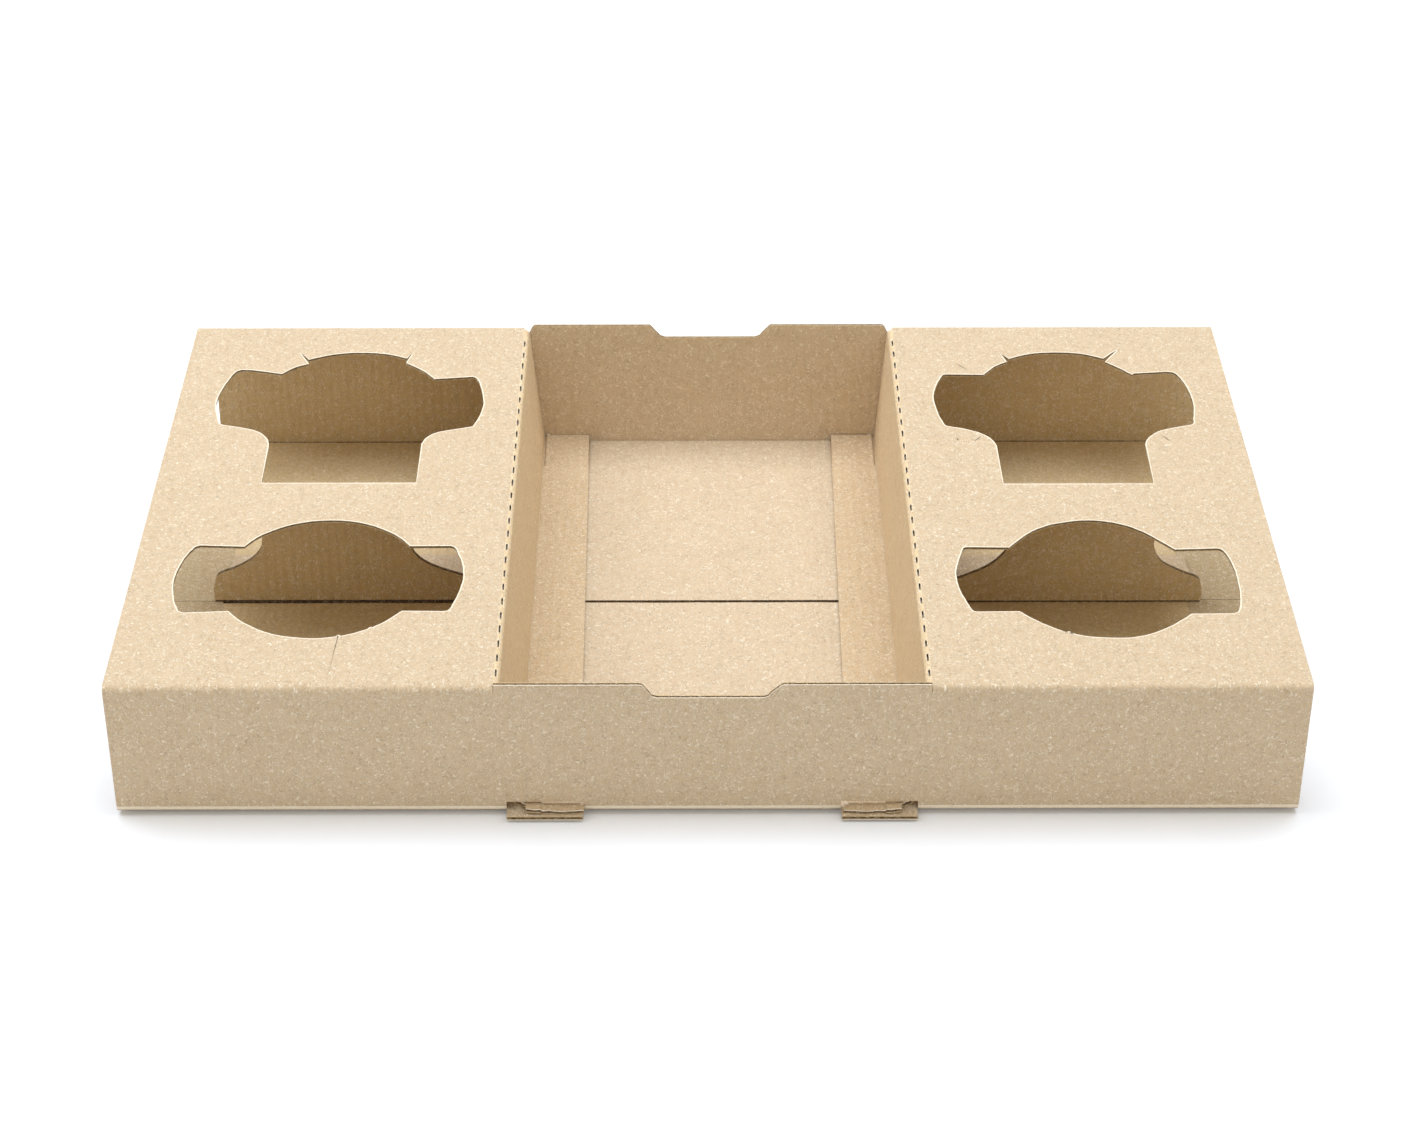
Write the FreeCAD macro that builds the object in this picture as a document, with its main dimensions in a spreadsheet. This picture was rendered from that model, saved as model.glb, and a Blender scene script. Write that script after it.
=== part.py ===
import FreeCAD, Part
import Sketcher
import math
import os

# A carrier for four cups, folded from one sheet of fluted board (millimetres, +X width, +Y back, +Z up).
# The sheet is a flat sleeve, open at its left and right ends, whose floor panels meet at a seam.
# The middle of the top is cut along its centre line and folded down and in: it makes a tray.
# The origin is on the surface the carrier stands on, under the middle of that tray.

doc = FreeCAD.newDocument("cup_carrier")

ACROSS = FreeCAD.Vector(1, 0, 0)
BACKWARDS = FreeCAD.Vector(0, 1, 0)
PAD = "PartDesign::Pad"
POCKET = "PartDesign::Pocket"
SAME_PLACE = 0.02
SAME_WAY = 0.9999

DRIVING_SIZES = [
    # The sheet and the sleeve it is folded into
    ("board_thickness", 1.5, "thickness of the fluted board"),
    ("inner_bend", 0.5, "radius inside a fold"),
    ("carrier_depth", 241.0, "front fold to back fold at the top"),
    ("carrier_height", 50.4, "table to the upper face of the cup panels"),
    ("left_reach", 191.4, "tray middle to the left end of the sleeve"),
    ("right_reach", 188.6, "tray middle to the right end of the sleeve"),
    ("front_lean", 2.4, "how far the foot of the front wall stands in from its top"),
    ("seam_place", 5.5, "seam in the floor, behind the middle"),
    ("seam_gap", 0.9, "gap between the two floor panels"),
    # The tray in the middle
    ("tray_half", 67.0, "half width of the tray opening"),
    ("side_lean", 3.6, "how far a tray side leans in at its foot"),
    ("flange_edge", 44.6, "tray middle to the free edge of a flange"),
    ("wall_rise", 0.7, "free top edges of the walls above the cup panels"),
    ("wall_side_gap", 1.2, "gap beside the free part of each wall"),
    ("flap_end_gap", 0.4, "gap between a tray side and the wall at its end"),
    ("notch_mouth", 21.5, "half width of a wall notch at its mouth"),
    ("notch_foot", 17.8, "half width of a wall notch at its foot"),
    ("notch_depth", 5.1, "depth of a wall notch"),
    ("notch_round", 2.5, "radius in the corners of a wall notch"),
    # Cup holes
    ("hole_offset", 128.2, "tray middle to the middle of a cup hole"),
    ("front_hole_place", -56.0, "middle of the front cup holes"),
    ("rear_hole_place", 63.3, "middle of the rear cup holes"),
    ("hole_reach", 36.3, "middle of a hole to the top of its arcs"),
    ("wing_mouth", 27.6, "half width of a hole where its wings begin"),
    ("wing_half", 20.0, "half width of a wing"),
    ("wing_reach", 47.2, "middle of a hole to the end of a wing"),
    ("petal_half", 17.4, "half width of the loose lip behind a rear hole"),
    ("petal_drop", 4.4, "how much the ends of that lip lie before its middle"),
    ("petal_step", 3.4, "step from the lip to the rest of the hole's edge"),
    ("slit_width", 0.5, "width of the slits beside the lip"),
    ("slit_spread", 3.4, "how far a slit runs outwards"),
    ("slit_run", 8.4, "how far a slit runs backwards"),
    # Partitions hanging from the folds before the rear holes
    ("fold_place", 5.5, "fold that a partition hangs from, behind the middle"),
    ("neck_half", 26.6, "half width of a partition's neck"),
    ("neck_length", 25.0, "straight length of the neck"),
    ("shoulder_width", 9.0, "width of the hollow shoulder"),
    ("shoulder_length", 12.5, "length of the hollow shoulder"),
    ("shoulder_round", 11.0, "radius of the hollow shoulder"),
    ("wing_slope", 2.6, "how much the shoulder drops out to the wing tip"),
    # Tongues and tabs that lock the tray's flanges through the walls
    ("tongue_inner", 41.5, "tray middle to the inner side of a floor tongue"),
    ("tongue_width", 24.5, "width of a floor tongue"),
    ("tongue_reach", 4.0, "how far a tongue stands out past the wall"),
    ("tab_foot", 21.0, "width of a flange tab where it leaves the flange"),
    ("tab_tip", 17.5, "width of a flange tab at its tip"),
    ("tab_reach", 3.2, "how far a tab stands out past the wall"),
    ("slot_side_gap", 0.3, "gap beside a tongue in its slot"),
    ("slot_headroom", 0.6, "gap over a tab in its slot"),
    # Perforation along the folds of the tray sides
    ("cut_pitch", 8.4, "distance from one cut to the next"),
    ("cut_length", 3.6, "length of one cut"),
    ("cut_width", 1.0, "width of one cut"),
    ("cut_offset", 0.9, "from the face of the tray side to a cut"),
    ("cut_margin", 6.5, "plain length of fold before the first cut and after the last"),
]

DERIVED_SIZES = [
    ("table", "=0"),
    ("outer_bend", "=inner_bend + board_thickness"),
    ("over", "=2 * board_thickness"),
    ("half_depth", "=carrier_depth / 2"),
    ("tilt", "=front_lean / carrier_height"),
    ("skew_wall", "=board_thickness * sqrt(1 + tilt * tilt)"),
    ("front_foot", "=front_lean - half_depth"),
    ("front_top", "=-half_depth"),
    ("inner_foot", "=front_foot - tilt * board_thickness + skew_wall"),
    ("inner_top", "=front_top + tilt * board_thickness + skew_wall"),
    ("inner_back", "=half_depth - board_thickness"),
    ("under_top", "=carrier_height - board_thickness"),
    ("seam_front", "=seam_place - seam_gap / 2"),
    ("seam_back", "=seam_place + seam_gap / 2"),
    ("clear_over", "=carrier_height + over + wall_rise"),
    ("wall_cut", "=carrier_height - outer_bend - inner_bend"),
    ("wall_top", "=carrier_height + wall_rise"),
    ("front_at_cut", "=front_top + tilt * (carrier_height - wall_cut)"),
    ("front_at_top", "=front_top - tilt * wall_rise"),
    ("front_at_clear", "=front_top - tilt * (over + wall_rise)"),
    ("skin_at_cut", "=front_at_cut + skew_wall"),
    ("skin_at_top", "=front_at_top + skew_wall"),
    ("mouth_half", "=tray_half + outer_bend"),
    ("free_wall_width", "=2 * (mouth_half - wall_side_gap)"),
    ("notch_floor", "=wall_top - notch_depth"),
    ("side_foot", "=tray_half - side_lean"),
    ("side_back", "=tray_half + board_thickness"),
    ("side_back_foot", "=side_foot + board_thickness"),
    ("side_high", "=carrier_height - outer_bend"),
    ("side_low", "=over + inner_bend"),
    ("foot_turn", "=side_foot - inner_bend"),
    ("slot_top", "=over + slot_headroom"),
    ("slot_inner", "=tongue_inner - slot_side_gap"),
    ("slot_outer", "=tongue_inner + tongue_width + slot_side_gap"),
    ("tongue_outer", "=tongue_inner + tongue_width"),
    ("slot_zone", "=outer_bend + board_thickness"),
    ("gap_at_foot", "=inner_foot + flap_end_gap"),
    ("skin_at_clear", "=front_at_clear + skew_wall"),
    ("gap_at_clear", "=skin_at_clear + flap_end_gap"),
    ("far_front", "=front_top - over"),
    ("gap_at_back", "=inner_back - flap_end_gap"),
    ("hanging", "=under_top"),
    ("wing_edge", "=sqrt(wing_reach * wing_reach - wing_half * wing_half)"),
    ("flap_middle", "=rear_hole_place - fold_place"),
    ("shoulder_out", "=neck_half + shoulder_width"),
    ("shoulder_far", "=neck_length + shoulder_length"),
    ("tip_far", "=shoulder_far + wing_slope"),
    ("tip_rise", "=flap_middle - tip_far"),
    ("tip_out", "=sqrt(wing_reach * wing_reach - tip_rise * tip_rise)"),
    ("fold_rise", "=flap_middle - hanging"),
    ("fold_out", "=sqrt(wing_reach * wing_reach - fold_rise * fold_rise)"),
    ("arc_rise", "=hole_reach - wing_half"),
    ("arc_radius", "=(wing_mouth * wing_mouth + arc_rise * arc_rise) / (2 * arc_rise)"),
    ("petal_radius", "=(petal_half * petal_half + petal_drop * petal_drop) / (2 * petal_drop)"),
    ("petal_end", "=hole_reach - petal_drop"),
    ("slit_slope", "=slit_spread / slit_run"),
    ("edge_start", "=petal_half - petal_step * slit_slope"),
    ("edge_rise", "=petal_end - petal_step"),
    ("slit_tip_out", "=edge_start + slit_spread"),
    ("slit_tip_rise", "=edge_rise + slit_run"),
    ("tongue_front", "=front_foot - tongue_reach"),
    ("tongue_back", "=half_depth + tongue_reach"),
    ("tongue_root_front", "=front_foot + slot_zone + over"),
    ("tongue_root_back", "=half_depth - slot_zone - over"),
    ("tab_front", "=front_foot - tab_reach"),
    ("tab_back", "=half_depth + tab_reach"),
    ("tab_outer_tip", "=flange_edge + tab_tip"),
    ("tab_outer_foot", "=flange_edge + tab_foot"),
    ("cut_inner", "=tray_half + cut_offset"),
    ("cut_outer", "=cut_inner + cut_width"),
    ("cut_first", "=front_top + cut_margin"),
    ("cut_first_end", "=cut_first + cut_length"),
    ("cut_count", "=floor((carrier_depth - 2 * cut_margin - cut_length) / cut_pitch) + 1"),
    ("cut_span", "=(cut_count - 1) * cut_pitch"),
    ("cut_depth", "=clear_over - side_high"),
    ("whole_depth", "=carrier_depth + 2 * over"),
    ("fold_from_hole", "=fold_place - outer_bend - rear_hole_place"),
    ("neck_end", "=neck_length - flap_middle"),
    ("shoulder_end", "=shoulder_far - flap_middle"),
    ("tip_place", "=-tip_rise"),
    ("fold_forward", "=fold_place - outer_bend"),
    ("partition_front", "=fold_place - board_thickness"),
    ("foot_start", "=fold_place + inner_bend"),
    ("neck_low", "=carrier_height - neck_length"),
    ("shoulder_low", "=carrier_height - shoulder_far"),
    ("tip_low", "=carrier_height - tip_far"),
    ("foot_wing_end", "=partition_front + flap_middle + wing_half - hanging"),
    ("far_out", "=half_depth + over"),
    ("rear_slot_plane", "=slot_zone - half_depth"),
    ("slit_start_out", "=edge_start + slit_width"),
    ("slit_end_out", "=slit_tip_out + slit_width"),
]

sheet = doc.addObject("Spreadsheet::Sheet", "Sizes")
for row, (name, number, meaning) in enumerate(DRIVING_SIZES, start=1):
    sheet.set(f"A{row}", name)
    sheet.set(f"B{row}", str(number))
    sheet.set(f"C{row}", meaning)
    sheet.setAlias(f"B{row}", name)
doc.recompute()
for row, (name, formula) in enumerate(DERIVED_SIZES, start=len(DRIVING_SIZES) + 2):
    sheet.set(f"A{row}", name)
    sheet.set(f"B{row}", formula)
    sheet.setAlias(f"B{row}", name)
    doc.recompute()


def size(name):
    """The number a signed size name stands for."""
    number = float(sheet.get(name.lstrip("-")))
    return -number if name.startswith("-") else number


def bound(name):
    """The expression that ties a property to a signed size name."""
    sign = "-" if name.startswith("-") else ""
    return f"{sign}Sizes.{name.lstrip('-')}"


def keep(name):
    """The same size."""
    return name


def flip(name):
    """The same size with its sign turned round."""
    return name[1:] if name.startswith("-") else "-" + name


def new_sketch(body, name, role, height=None):
    """A sketch on one of the body's own planes, moved along that plane's normal by a named size."""
    sketch = body.newObject("Sketcher::SketchObject", name)
    plane = [item for item in body.Origin.OriginFeatures if item.Role == role][0]
    sketch.AttachmentSupport = [(plane, "")]
    sketch.MapMode = "FlatFace"
    if height:
        sketch.setExpression(".AttachmentOffset.Base.z", bound(height))
    return sketch


def arc_between(start, end, radius, left):
    """The short arc from start to end, with its centre on the left or right of the way there."""
    run = (end - start).Length
    across = math.sqrt(max(radius * radius - run * run / 4, 0.0))
    middle = (start + end) / 2
    way = (end - start).normalize()
    normal = FreeCAD.Vector(-way.y, way.x, 0) if left else FreeCAD.Vector(way.y, -way.x, 0)
    centre = middle + normal * across
    first, last = (start, end) if left else (end, start)
    angle_first = math.atan2(first.y - centre.y, first.x - centre.x)
    angle_last = math.atan2(last.y - centre.y, last.x - centre.x)
    circle = Part.Circle(centre, FreeCAD.Vector(0, 0, 1), radius)
    return Part.ArcOfCircle(circle, angle_first, angle_last)


def outline(sketch, corners, shift_across=None, shift_up=None):
    """Draws a closed outline. A corner is (across, up), and may add (radius, left) for the arc after it.

    Every corner is tied to the sheet by its two sizes, and moved by the shifts, which are sizes too.
    """
    move_x = size(shift_across) if shift_across else 0.0
    move_y = size(shift_up) if shift_up else 0.0
    points = [FreeCAD.Vector(size(c[0]) + move_x, size(c[1]) + move_y, 0) for c in corners]
    ends = []
    for place, corner in enumerate(corners):
        start, end = points[place], points[(place + 1) % len(points)]
        if len(corner) > 2:
            radius, left = corner[2]
            edge = sketch.addGeometry(arc_between(start, end, size(radius), left), False)
            sketch.addConstraint(Sketcher.Constraint("Radius", edge, size(radius)))
            sketch.setExpression(f"Constraints[{sketch.ConstraintCount - 1}]", bound(radius))
            ends.append((edge, 1, 2) if left else (edge, 2, 1))
        else:
            edge = sketch.addGeometry(Part.LineSegment(start, end), False)
            ends.append((edge, 1, 2))
    for place, corner in enumerate(corners):
        edge, first, _ = ends[place]
        before, _, last = ends[place - 1]
        sketch.addConstraint(Sketcher.Constraint("Coincident", before, last, edge, first))
        for kind, name, shift, number in (("DistanceX", corner[0], shift_across, points[place].x),
                                          ("DistanceY", corner[1], shift_up, points[place].y)):
            sketch.addConstraint(Sketcher.Constraint(kind, -1, 1, edge, first, number))
            text = bound(name) + (" + " + bound(shift) if shift else "")
            sketch.setExpression(f"Constraints[{sketch.ConstraintCount - 1}]", text)


def feature(body, kind, name, sketch, length, both_ways=False):
    """A pad or a pocket of a sketch, with its length tied to the sheet."""
    made = body.newObject(kind, name)
    made.Profile = sketch
    if both_ways:
        made.SideType = "Symmetric"
    made.setExpression("Length", length)
    sketch.Visibility = False
    doc.recompute()
    return made


def long_edges(shape, axis, places):
    """Names of the straight edges along an axis that pass through one of the given places."""
    names = []
    for number, edge in enumerate(shape.Edges, start=1):
        if edge.Curve.TypeId != "Part::GeomLine":
            continue
        way = edge.Vertexes[-1].Point - edge.Vertexes[0].Point
        if way.Length < SAME_PLACE or abs(way.normalize().dot(axis)) < SAME_WAY:
            continue
        near = edge.Vertexes[0].Point
        for place in places:
            away = near - place
            if (away - axis * away.dot(axis)).Length < SAME_PLACE:
                names.append(f"Edge{number}")
    return names


def round_edges(body, name, base, edges, radius):
    """A fillet whose radius is tied to the sheet."""
    made = body.newObject("PartDesign::Fillet", name)
    made.Base = (base, edges)
    made.setExpression("Radius", bound(radius))
    doc.recompute()
    return made


body = doc.addObject("PartDesign::Body", "folded_carrier")
body.Label = "folded_carrier"
body.Placement = FreeCAD.Placement()
doc.recompute()

# The sleeve: top, back wall, floor and leaning front wall, with the seam left open in the floor
sketch = new_sketch(body, "sleeve_section", "YZ_Plane")
doc.recompute()
outline(sketch, [
    ("seam_back", "table"), ("half_depth", "table"), ("half_depth", "carrier_height"),
    ("front_top", "carrier_height"), ("front_foot", "table"), ("seam_front", "table"),
    ("seam_front", "board_thickness"), ("inner_foot", "board_thickness"), ("inner_top", "under_top"),
    ("inner_back", "under_top"), ("inner_back", "board_thickness"), ("seam_back", "board_thickness"),
])
sleeve = body.newObject(PAD, "sleeve")
sleeve.Profile = sketch
sleeve.SideType = "Two sides"
sleeve.setExpression("Length", "Sizes.right_reach")
sleeve.setExpression("Length2", "Sizes.left_reach")
doc.recompute()


def section_point(across, up):
    """A point of the sleeve's section, from two size names."""
    return FreeCAD.Vector(0, size(across), size(up))


outer_corners = [section_point("half_depth", "table"), section_point("half_depth", "carrier_height"),
                 section_point("front_top", "carrier_height"), section_point("front_foot", "table")]
inner_corners = [section_point("inner_back", "board_thickness"), section_point("inner_back", "under_top"),
                 section_point("inner_top", "under_top"), section_point("inner_foot", "board_thickness")]
outer_folds = round_edges(body, "outer_folds", sleeve, long_edges(sleeve.Shape, ACROSS, outer_corners),
                          "outer_bend")
inner_folds = round_edges(body, "inner_folds", outer_folds,
                          long_edges(outer_folds.Shape, ACROSS, inner_corners), "inner_bend")

# The middle of the top is cut away, with the folds beside it, and the walls get free top edges there
sketch = new_sketch(body, "tray_mouth_outline", "XZ_Plane")
outline(sketch, [("-mouth_half", "wall_cut"), ("mouth_half", "wall_cut"),
                 ("mouth_half", "clear_over"), ("-mouth_half", "clear_over")])
feature(body, POCKET, "tray_mouth", sketch, "Sizes.whole_depth", both_ways=True)

sketch = new_sketch(body, "free_wall_sections", "YZ_Plane")
outline(sketch, [("front_at_cut", "wall_cut"), ("skin_at_cut", "wall_cut"),
                 ("skin_at_top", "wall_top"), ("front_at_top", "wall_top")])
outline(sketch, [("inner_back", "wall_cut"), ("half_depth", "wall_cut"),
                 ("half_depth", "wall_top"), ("inner_back", "wall_top")])
feature(body, PAD, "free_wall_tops", sketch, "Sizes.free_wall_width", both_ways=True)

sketch = new_sketch(body, "notch_outline", "XZ_Plane")
outline(sketch, [("-notch_foot", "notch_floor"), ("notch_foot", "notch_floor"), ("notch_mouth", "wall_top"),
                 ("notch_mouth", "clear_over"), ("-notch_mouth", "clear_over"), ("-notch_mouth", "wall_top")])
notches = feature(body, POCKET, "wall_notches", sketch, "Sizes.whole_depth", both_ways=True)
notch_feet = [FreeCAD.Vector(side * size("notch_foot"), 0, size("notch_floor")) for side in (-1, 1)]
round_edges(body, "notch_corners", notches, long_edges(notches.Shape, BACKWARDS, notch_feet), "notch_round")


def winged_hole(sketch, side, place):
    """A cup hole: two arcs joined by a wing on each side."""
    outline(sketch, [
        ("wing_mouth", "-wing_half"), ("wing_edge", "-wing_half", ("wing_reach", True)),
        ("wing_edge", "wing_half"), ("wing_mouth", "wing_half", ("arc_radius", True)),
        ("-wing_mouth", "wing_half"), ("-wing_edge", "wing_half", ("wing_reach", True)),
        ("-wing_edge", "-wing_half"), ("-wing_mouth", "-wing_half", ("arc_radius", True)),
    ], side + "hole_offset", place)


# Cup holes, cut through the top panels alone
sketch = new_sketch(body, "front_hole_outlines", "XY_Plane", "clear_over")
for side in ("-", ""):
    winged_hole(sketch, side, "front_hole_place")
feature(body, POCKET, "front_holes", sketch, "Sizes.clear_over - Sizes.wall_cut")

sketch = new_sketch(body, "rear_hole_outlines", "XY_Plane", "clear_over")
for side in ("-", ""):
    outline(sketch, [
        ("neck_half", "fold_from_hole"), ("neck_half", "neck_end", ("shoulder_round", False)),
        ("shoulder_out", "shoulder_end"), ("tip_out", "tip_place", ("wing_reach", True)),
        ("wing_edge", "wing_half"), ("wing_mouth", "wing_half", ("arc_radius", True)),
        ("edge_start", "edge_rise"), ("petal_half", "petal_end", ("petal_radius", True)),
        ("-petal_half", "petal_end"), ("-edge_start", "edge_rise", ("arc_radius", True)),
        ("-wing_mouth", "wing_half"), ("-wing_edge", "wing_half", ("wing_reach", True)),
        ("-tip_out", "tip_place"), ("-shoulder_out", "shoulder_end", ("shoulder_round", False)),
        ("-neck_half", "neck_end"), ("-neck_half", "fold_from_hole"),
    ], side + "hole_offset", "rear_hole_place")
feature(body, POCKET, "rear_holes", sketch, "Sizes.clear_over - Sizes.wall_cut")

# Tray sides and flanges: each half of the cut middle, folded down and then in along the floor
sketch = new_sketch(body, "tray_side_sections", "XZ_Plane")
for mirror, left in ((keep, True), (flip, False)):
    outline(sketch, [
        (mirror("mouth_half"), "carrier_height", ("outer_bend", left)), (mirror("tray_half"), "side_high"),
        (mirror("side_foot"), "side_low", ("inner_bend", not left)), (mirror("foot_turn"), "over"),
        (mirror("flange_edge"), "over"), (mirror("flange_edge"), "board_thickness"),
        (mirror("foot_turn"), "board_thickness", ("outer_bend", left)),
        (mirror("side_back_foot"), "side_low"), (mirror("side_back"), "side_high", ("inner_bend", not left)),
        (mirror("mouth_half"), "under_top"),
    ])
feature(body, PAD, "tray_sides", sketch, "Sizes.carrier_depth - Sizes.board_thickness", both_ways=True)

# The ends of the tray sides and flanges follow the walls, and a thin gap frees them from the walls
sketch = new_sketch(body, "flap_excess_section", "YZ_Plane")
outline(sketch, [("far_front", "table"), ("front_foot", "table"),
                 ("front_at_clear", "clear_over"), ("far_front", "clear_over")])
feature(body, POCKET, "flap_excess", sketch, "2 * Sizes.mouth_half", both_ways=True)

sketch = new_sketch(body, "flap_end_sections", "YZ_Plane")
outline(sketch, [("inner_foot", "board_thickness"), ("gap_at_foot", "board_thickness"),
                 ("gap_at_clear", "clear_over"), ("skin_at_clear", "clear_over")])
outline(sketch, [("gap_at_back", "board_thickness"), ("inner_back", "board_thickness"),
                 ("inner_back", "clear_over"), ("gap_at_back", "clear_over")])
feature(body, POCKET, "flap_end_gaps", sketch, "2 * Sizes.mouth_half", both_ways=True)

# Partitions: the flap cut out of each rear hole hangs from its fold down to the floor
for name, plane in (("left_fold_section", "-hole_offset"), ("right_fold_section", "hole_offset")):
    sketch = new_sketch(body, name, "YZ_Plane", plane)
    outline(sketch, [
        ("fold_forward", "under_top", ("inner_bend", False)), ("partition_front", "side_high"),
        ("fold_place", "side_high", ("outer_bend", True)), ("fold_forward", "carrier_height"),
    ])
    feature(body, PAD, name.replace("section", "bend"), sketch, "2 * Sizes.neck_half", both_ways=True)

sketch = new_sketch(body, "partition_outlines", "XZ_Plane", "-fold_place")
for side in ("-", ""):
    outline(sketch, [
        ("-neck_half", "side_high"), ("-neck_half", "neck_low", ("shoulder_round", False)),
        ("-shoulder_out", "shoulder_low"), ("-tip_out", "tip_low", ("wing_reach", True)),
        ("-fold_out", "side_low"), ("fold_out", "side_low", ("wing_reach", True)),
        ("tip_out", "tip_low"), ("shoulder_out", "shoulder_low", ("shoulder_round", False)),
        ("neck_half", "neck_low"), ("neck_half", "side_high"),
    ], side + "hole_offset")
feature(body, PAD, "partitions", sketch, "Sizes.board_thickness")

# Their feet: the rest of each flap, folded back and lying on the floor
for name, plane in (("left_foot_section", "-hole_offset"), ("right_foot_section", "hole_offset")):
    sketch = new_sketch(body, name, "YZ_Plane", plane)
    outline(sketch, [
        ("fold_place", "side_low", ("inner_bend", True)), ("foot_start", "over"),
        ("foot_start", "board_thickness", ("outer_bend", False)), ("partition_front", "side_low"),
    ])
    feature(body, PAD, name.replace("section", "bend"), sketch, "2 * Sizes.fold_out", both_ways=True)

sketch = new_sketch(body, "partition_foot_outlines", "XY_Plane", "board_thickness")
for side in ("-", ""):
    outline(sketch, [
        ("-fold_out", "foot_start"), ("fold_out", "foot_start", ("wing_reach", True)),
        ("wing_edge", "foot_wing_end"), ("wing_mouth", "foot_wing_end", ("arc_radius", True)),
        ("-wing_mouth", "foot_wing_end"), ("-wing_edge", "foot_wing_end", ("wing_reach", True)),
    ], side + "hole_offset")
feature(body, PAD, "partition_feet", sketch, "Sizes.board_thickness")

# Slots at the feet of both walls, the floor tongues that pass out under them, and the flange tabs above
for name, plane, length in (
        ("front_slots", "far_out", "Sizes.far_out + Sizes.front_foot + Sizes.slot_zone"),
        ("rear_slots", "rear_slot_plane", "Sizes.slot_zone + Sizes.over")):
    sketch = new_sketch(body, name + "_outline", "XZ_Plane", plane)
    for mirror in (keep, flip):
        outline(sketch, [(mirror("slot_inner"), "table"), (mirror("slot_outer"), "table"),
                         (mirror("slot_outer"), "slot_top"), (mirror("slot_inner"), "slot_top")])
    feature(body, POCKET, name, sketch, length)

sketch = new_sketch(body, "tongue_outlines", "XY_Plane")
for mirror in (keep, flip):
    for far_end, root in (("tongue_front", "tongue_root_front"), ("tongue_back", "tongue_root_back")):
        outline(sketch, [(mirror("tongue_inner"), far_end), (mirror("tongue_outer"), far_end),
                         (mirror("tongue_outer"), root), (mirror("tongue_inner"), root)])
feature(body, PAD, "tongues", sketch, "Sizes.board_thickness")

sketch = new_sketch(body, "tab_outlines", "XY_Plane", "board_thickness")
for mirror in (keep, flip):
    for far_end, foot, root in (("tab_front", "front_foot", "tongue_root_front"),
                                ("tab_back", "half_depth", "tongue_root_back")):
        outline(sketch, [(mirror("flange_edge"), far_end), (mirror("tab_outer_tip"), far_end),
                         (mirror("tab_outer_foot"), foot), (mirror("tab_outer_foot"), root),
                         (mirror("flange_edge"), root)])
feature(body, PAD, "flange_tabs", sketch, "Sizes.board_thickness")

# Slits beside the loose lip behind each rear hole
sketch = new_sketch(body, "slit_outlines", "XY_Plane", "clear_over")
for side in ("-", ""):
    for mirror in (keep, flip):
        outline(sketch, [
            (mirror("edge_start"), "edge_rise"), (mirror("slit_start_out"), "edge_rise"),
            (mirror("slit_end_out"), "slit_tip_rise"), (mirror("slit_tip_out"), "slit_tip_rise"),
        ], side + "hole_offset", "rear_hole_place")
feature(body, POCKET, "lip_slits", sketch, "Sizes.clear_over - Sizes.wall_cut")

# Perforation along the folds of the tray sides
sketch = new_sketch(body, "first_cut_outlines", "XY_Plane", "clear_over")
for mirror in (keep, flip):
    outline(sketch, [(mirror("cut_inner"), "cut_first"), (mirror("cut_outer"), "cut_first"),
                     (mirror("cut_outer"), "cut_first_end"), (mirror("cut_inner"), "cut_first_end")])
first_cuts = feature(body, POCKET, "first_cuts", sketch, "Sizes.cut_depth")
row_of_cuts = body.newObject("PartDesign::LinearPattern", "perforation")
row_of_cuts.Originals = [first_cuts]
row_axis = [item for item in body.Origin.OriginFeatures if item.Role == "Y_Axis"][0]
row_of_cuts.Direction = (row_axis, [""])
row_of_cuts.setExpression("Length", "Sizes.cut_span")
row_of_cuts.setExpression("Occurrences", "Sizes.cut_count")
body.Tip = row_of_cuts
doc.recompute()

for item in doc.Objects:
    if "Invalid" in item.State or "Error" in item.State:
        raise RuntimeError(f"{item.Name} failed: {item.State}")
shape = body.Shape
if shape.isNull() or not shape.isValid() or len(shape.Solids) != 1:
    raise RuntimeError("folded_carrier is not one valid solid")

os.makedirs("parts", exist_ok=True)
shape.exportStep("parts/folded_carrier.step")
print("folded_carrier", round(shape.Volume), "cubic mm, one valid solid")
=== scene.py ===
import math
import random

import bpy
import numpy as np
from mathutils import Matrix


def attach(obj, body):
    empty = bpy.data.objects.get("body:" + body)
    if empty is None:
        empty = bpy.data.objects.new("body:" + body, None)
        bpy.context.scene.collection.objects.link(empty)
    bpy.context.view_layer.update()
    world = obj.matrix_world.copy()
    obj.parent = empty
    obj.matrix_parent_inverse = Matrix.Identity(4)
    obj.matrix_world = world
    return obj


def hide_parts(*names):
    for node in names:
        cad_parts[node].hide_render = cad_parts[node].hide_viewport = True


# A folded cup carrier of fluted kraft board, made flat, die cut, and then folded up, as the real one is.
# Work is in millimetres, and each finished piece is brought to metres at the end.
# Flat, the sheet lies at the height of the cup panels with its outside upwards: x across, y towards the back.

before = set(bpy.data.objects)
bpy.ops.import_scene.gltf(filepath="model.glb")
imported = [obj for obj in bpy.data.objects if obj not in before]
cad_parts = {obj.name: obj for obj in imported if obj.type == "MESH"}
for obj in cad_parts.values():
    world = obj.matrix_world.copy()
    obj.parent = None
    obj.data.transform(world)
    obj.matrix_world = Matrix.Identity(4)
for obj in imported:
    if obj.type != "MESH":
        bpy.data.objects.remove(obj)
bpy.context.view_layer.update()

# The board: two liners with the fluting between them, and how it bends
TOP = 50.4
BOARD = 1.5
LINER = 0.3
FLUTE_PAPER = 0.2
FLUTE_RISE = 0.34
FLUTE_PITCH = 3.193
COLUMNS_A_FLUTE = 6
OUTER_BEND = 2.0
INNER_BEND = 0.5
BEND_STEPS = 4
ROW_STEP = 0.5
BEND = ROW_STEP * BEND_STEPS
FLOOR_ROW = 30
WALL_ROW = 24
MARGIN = 2.0

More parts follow.
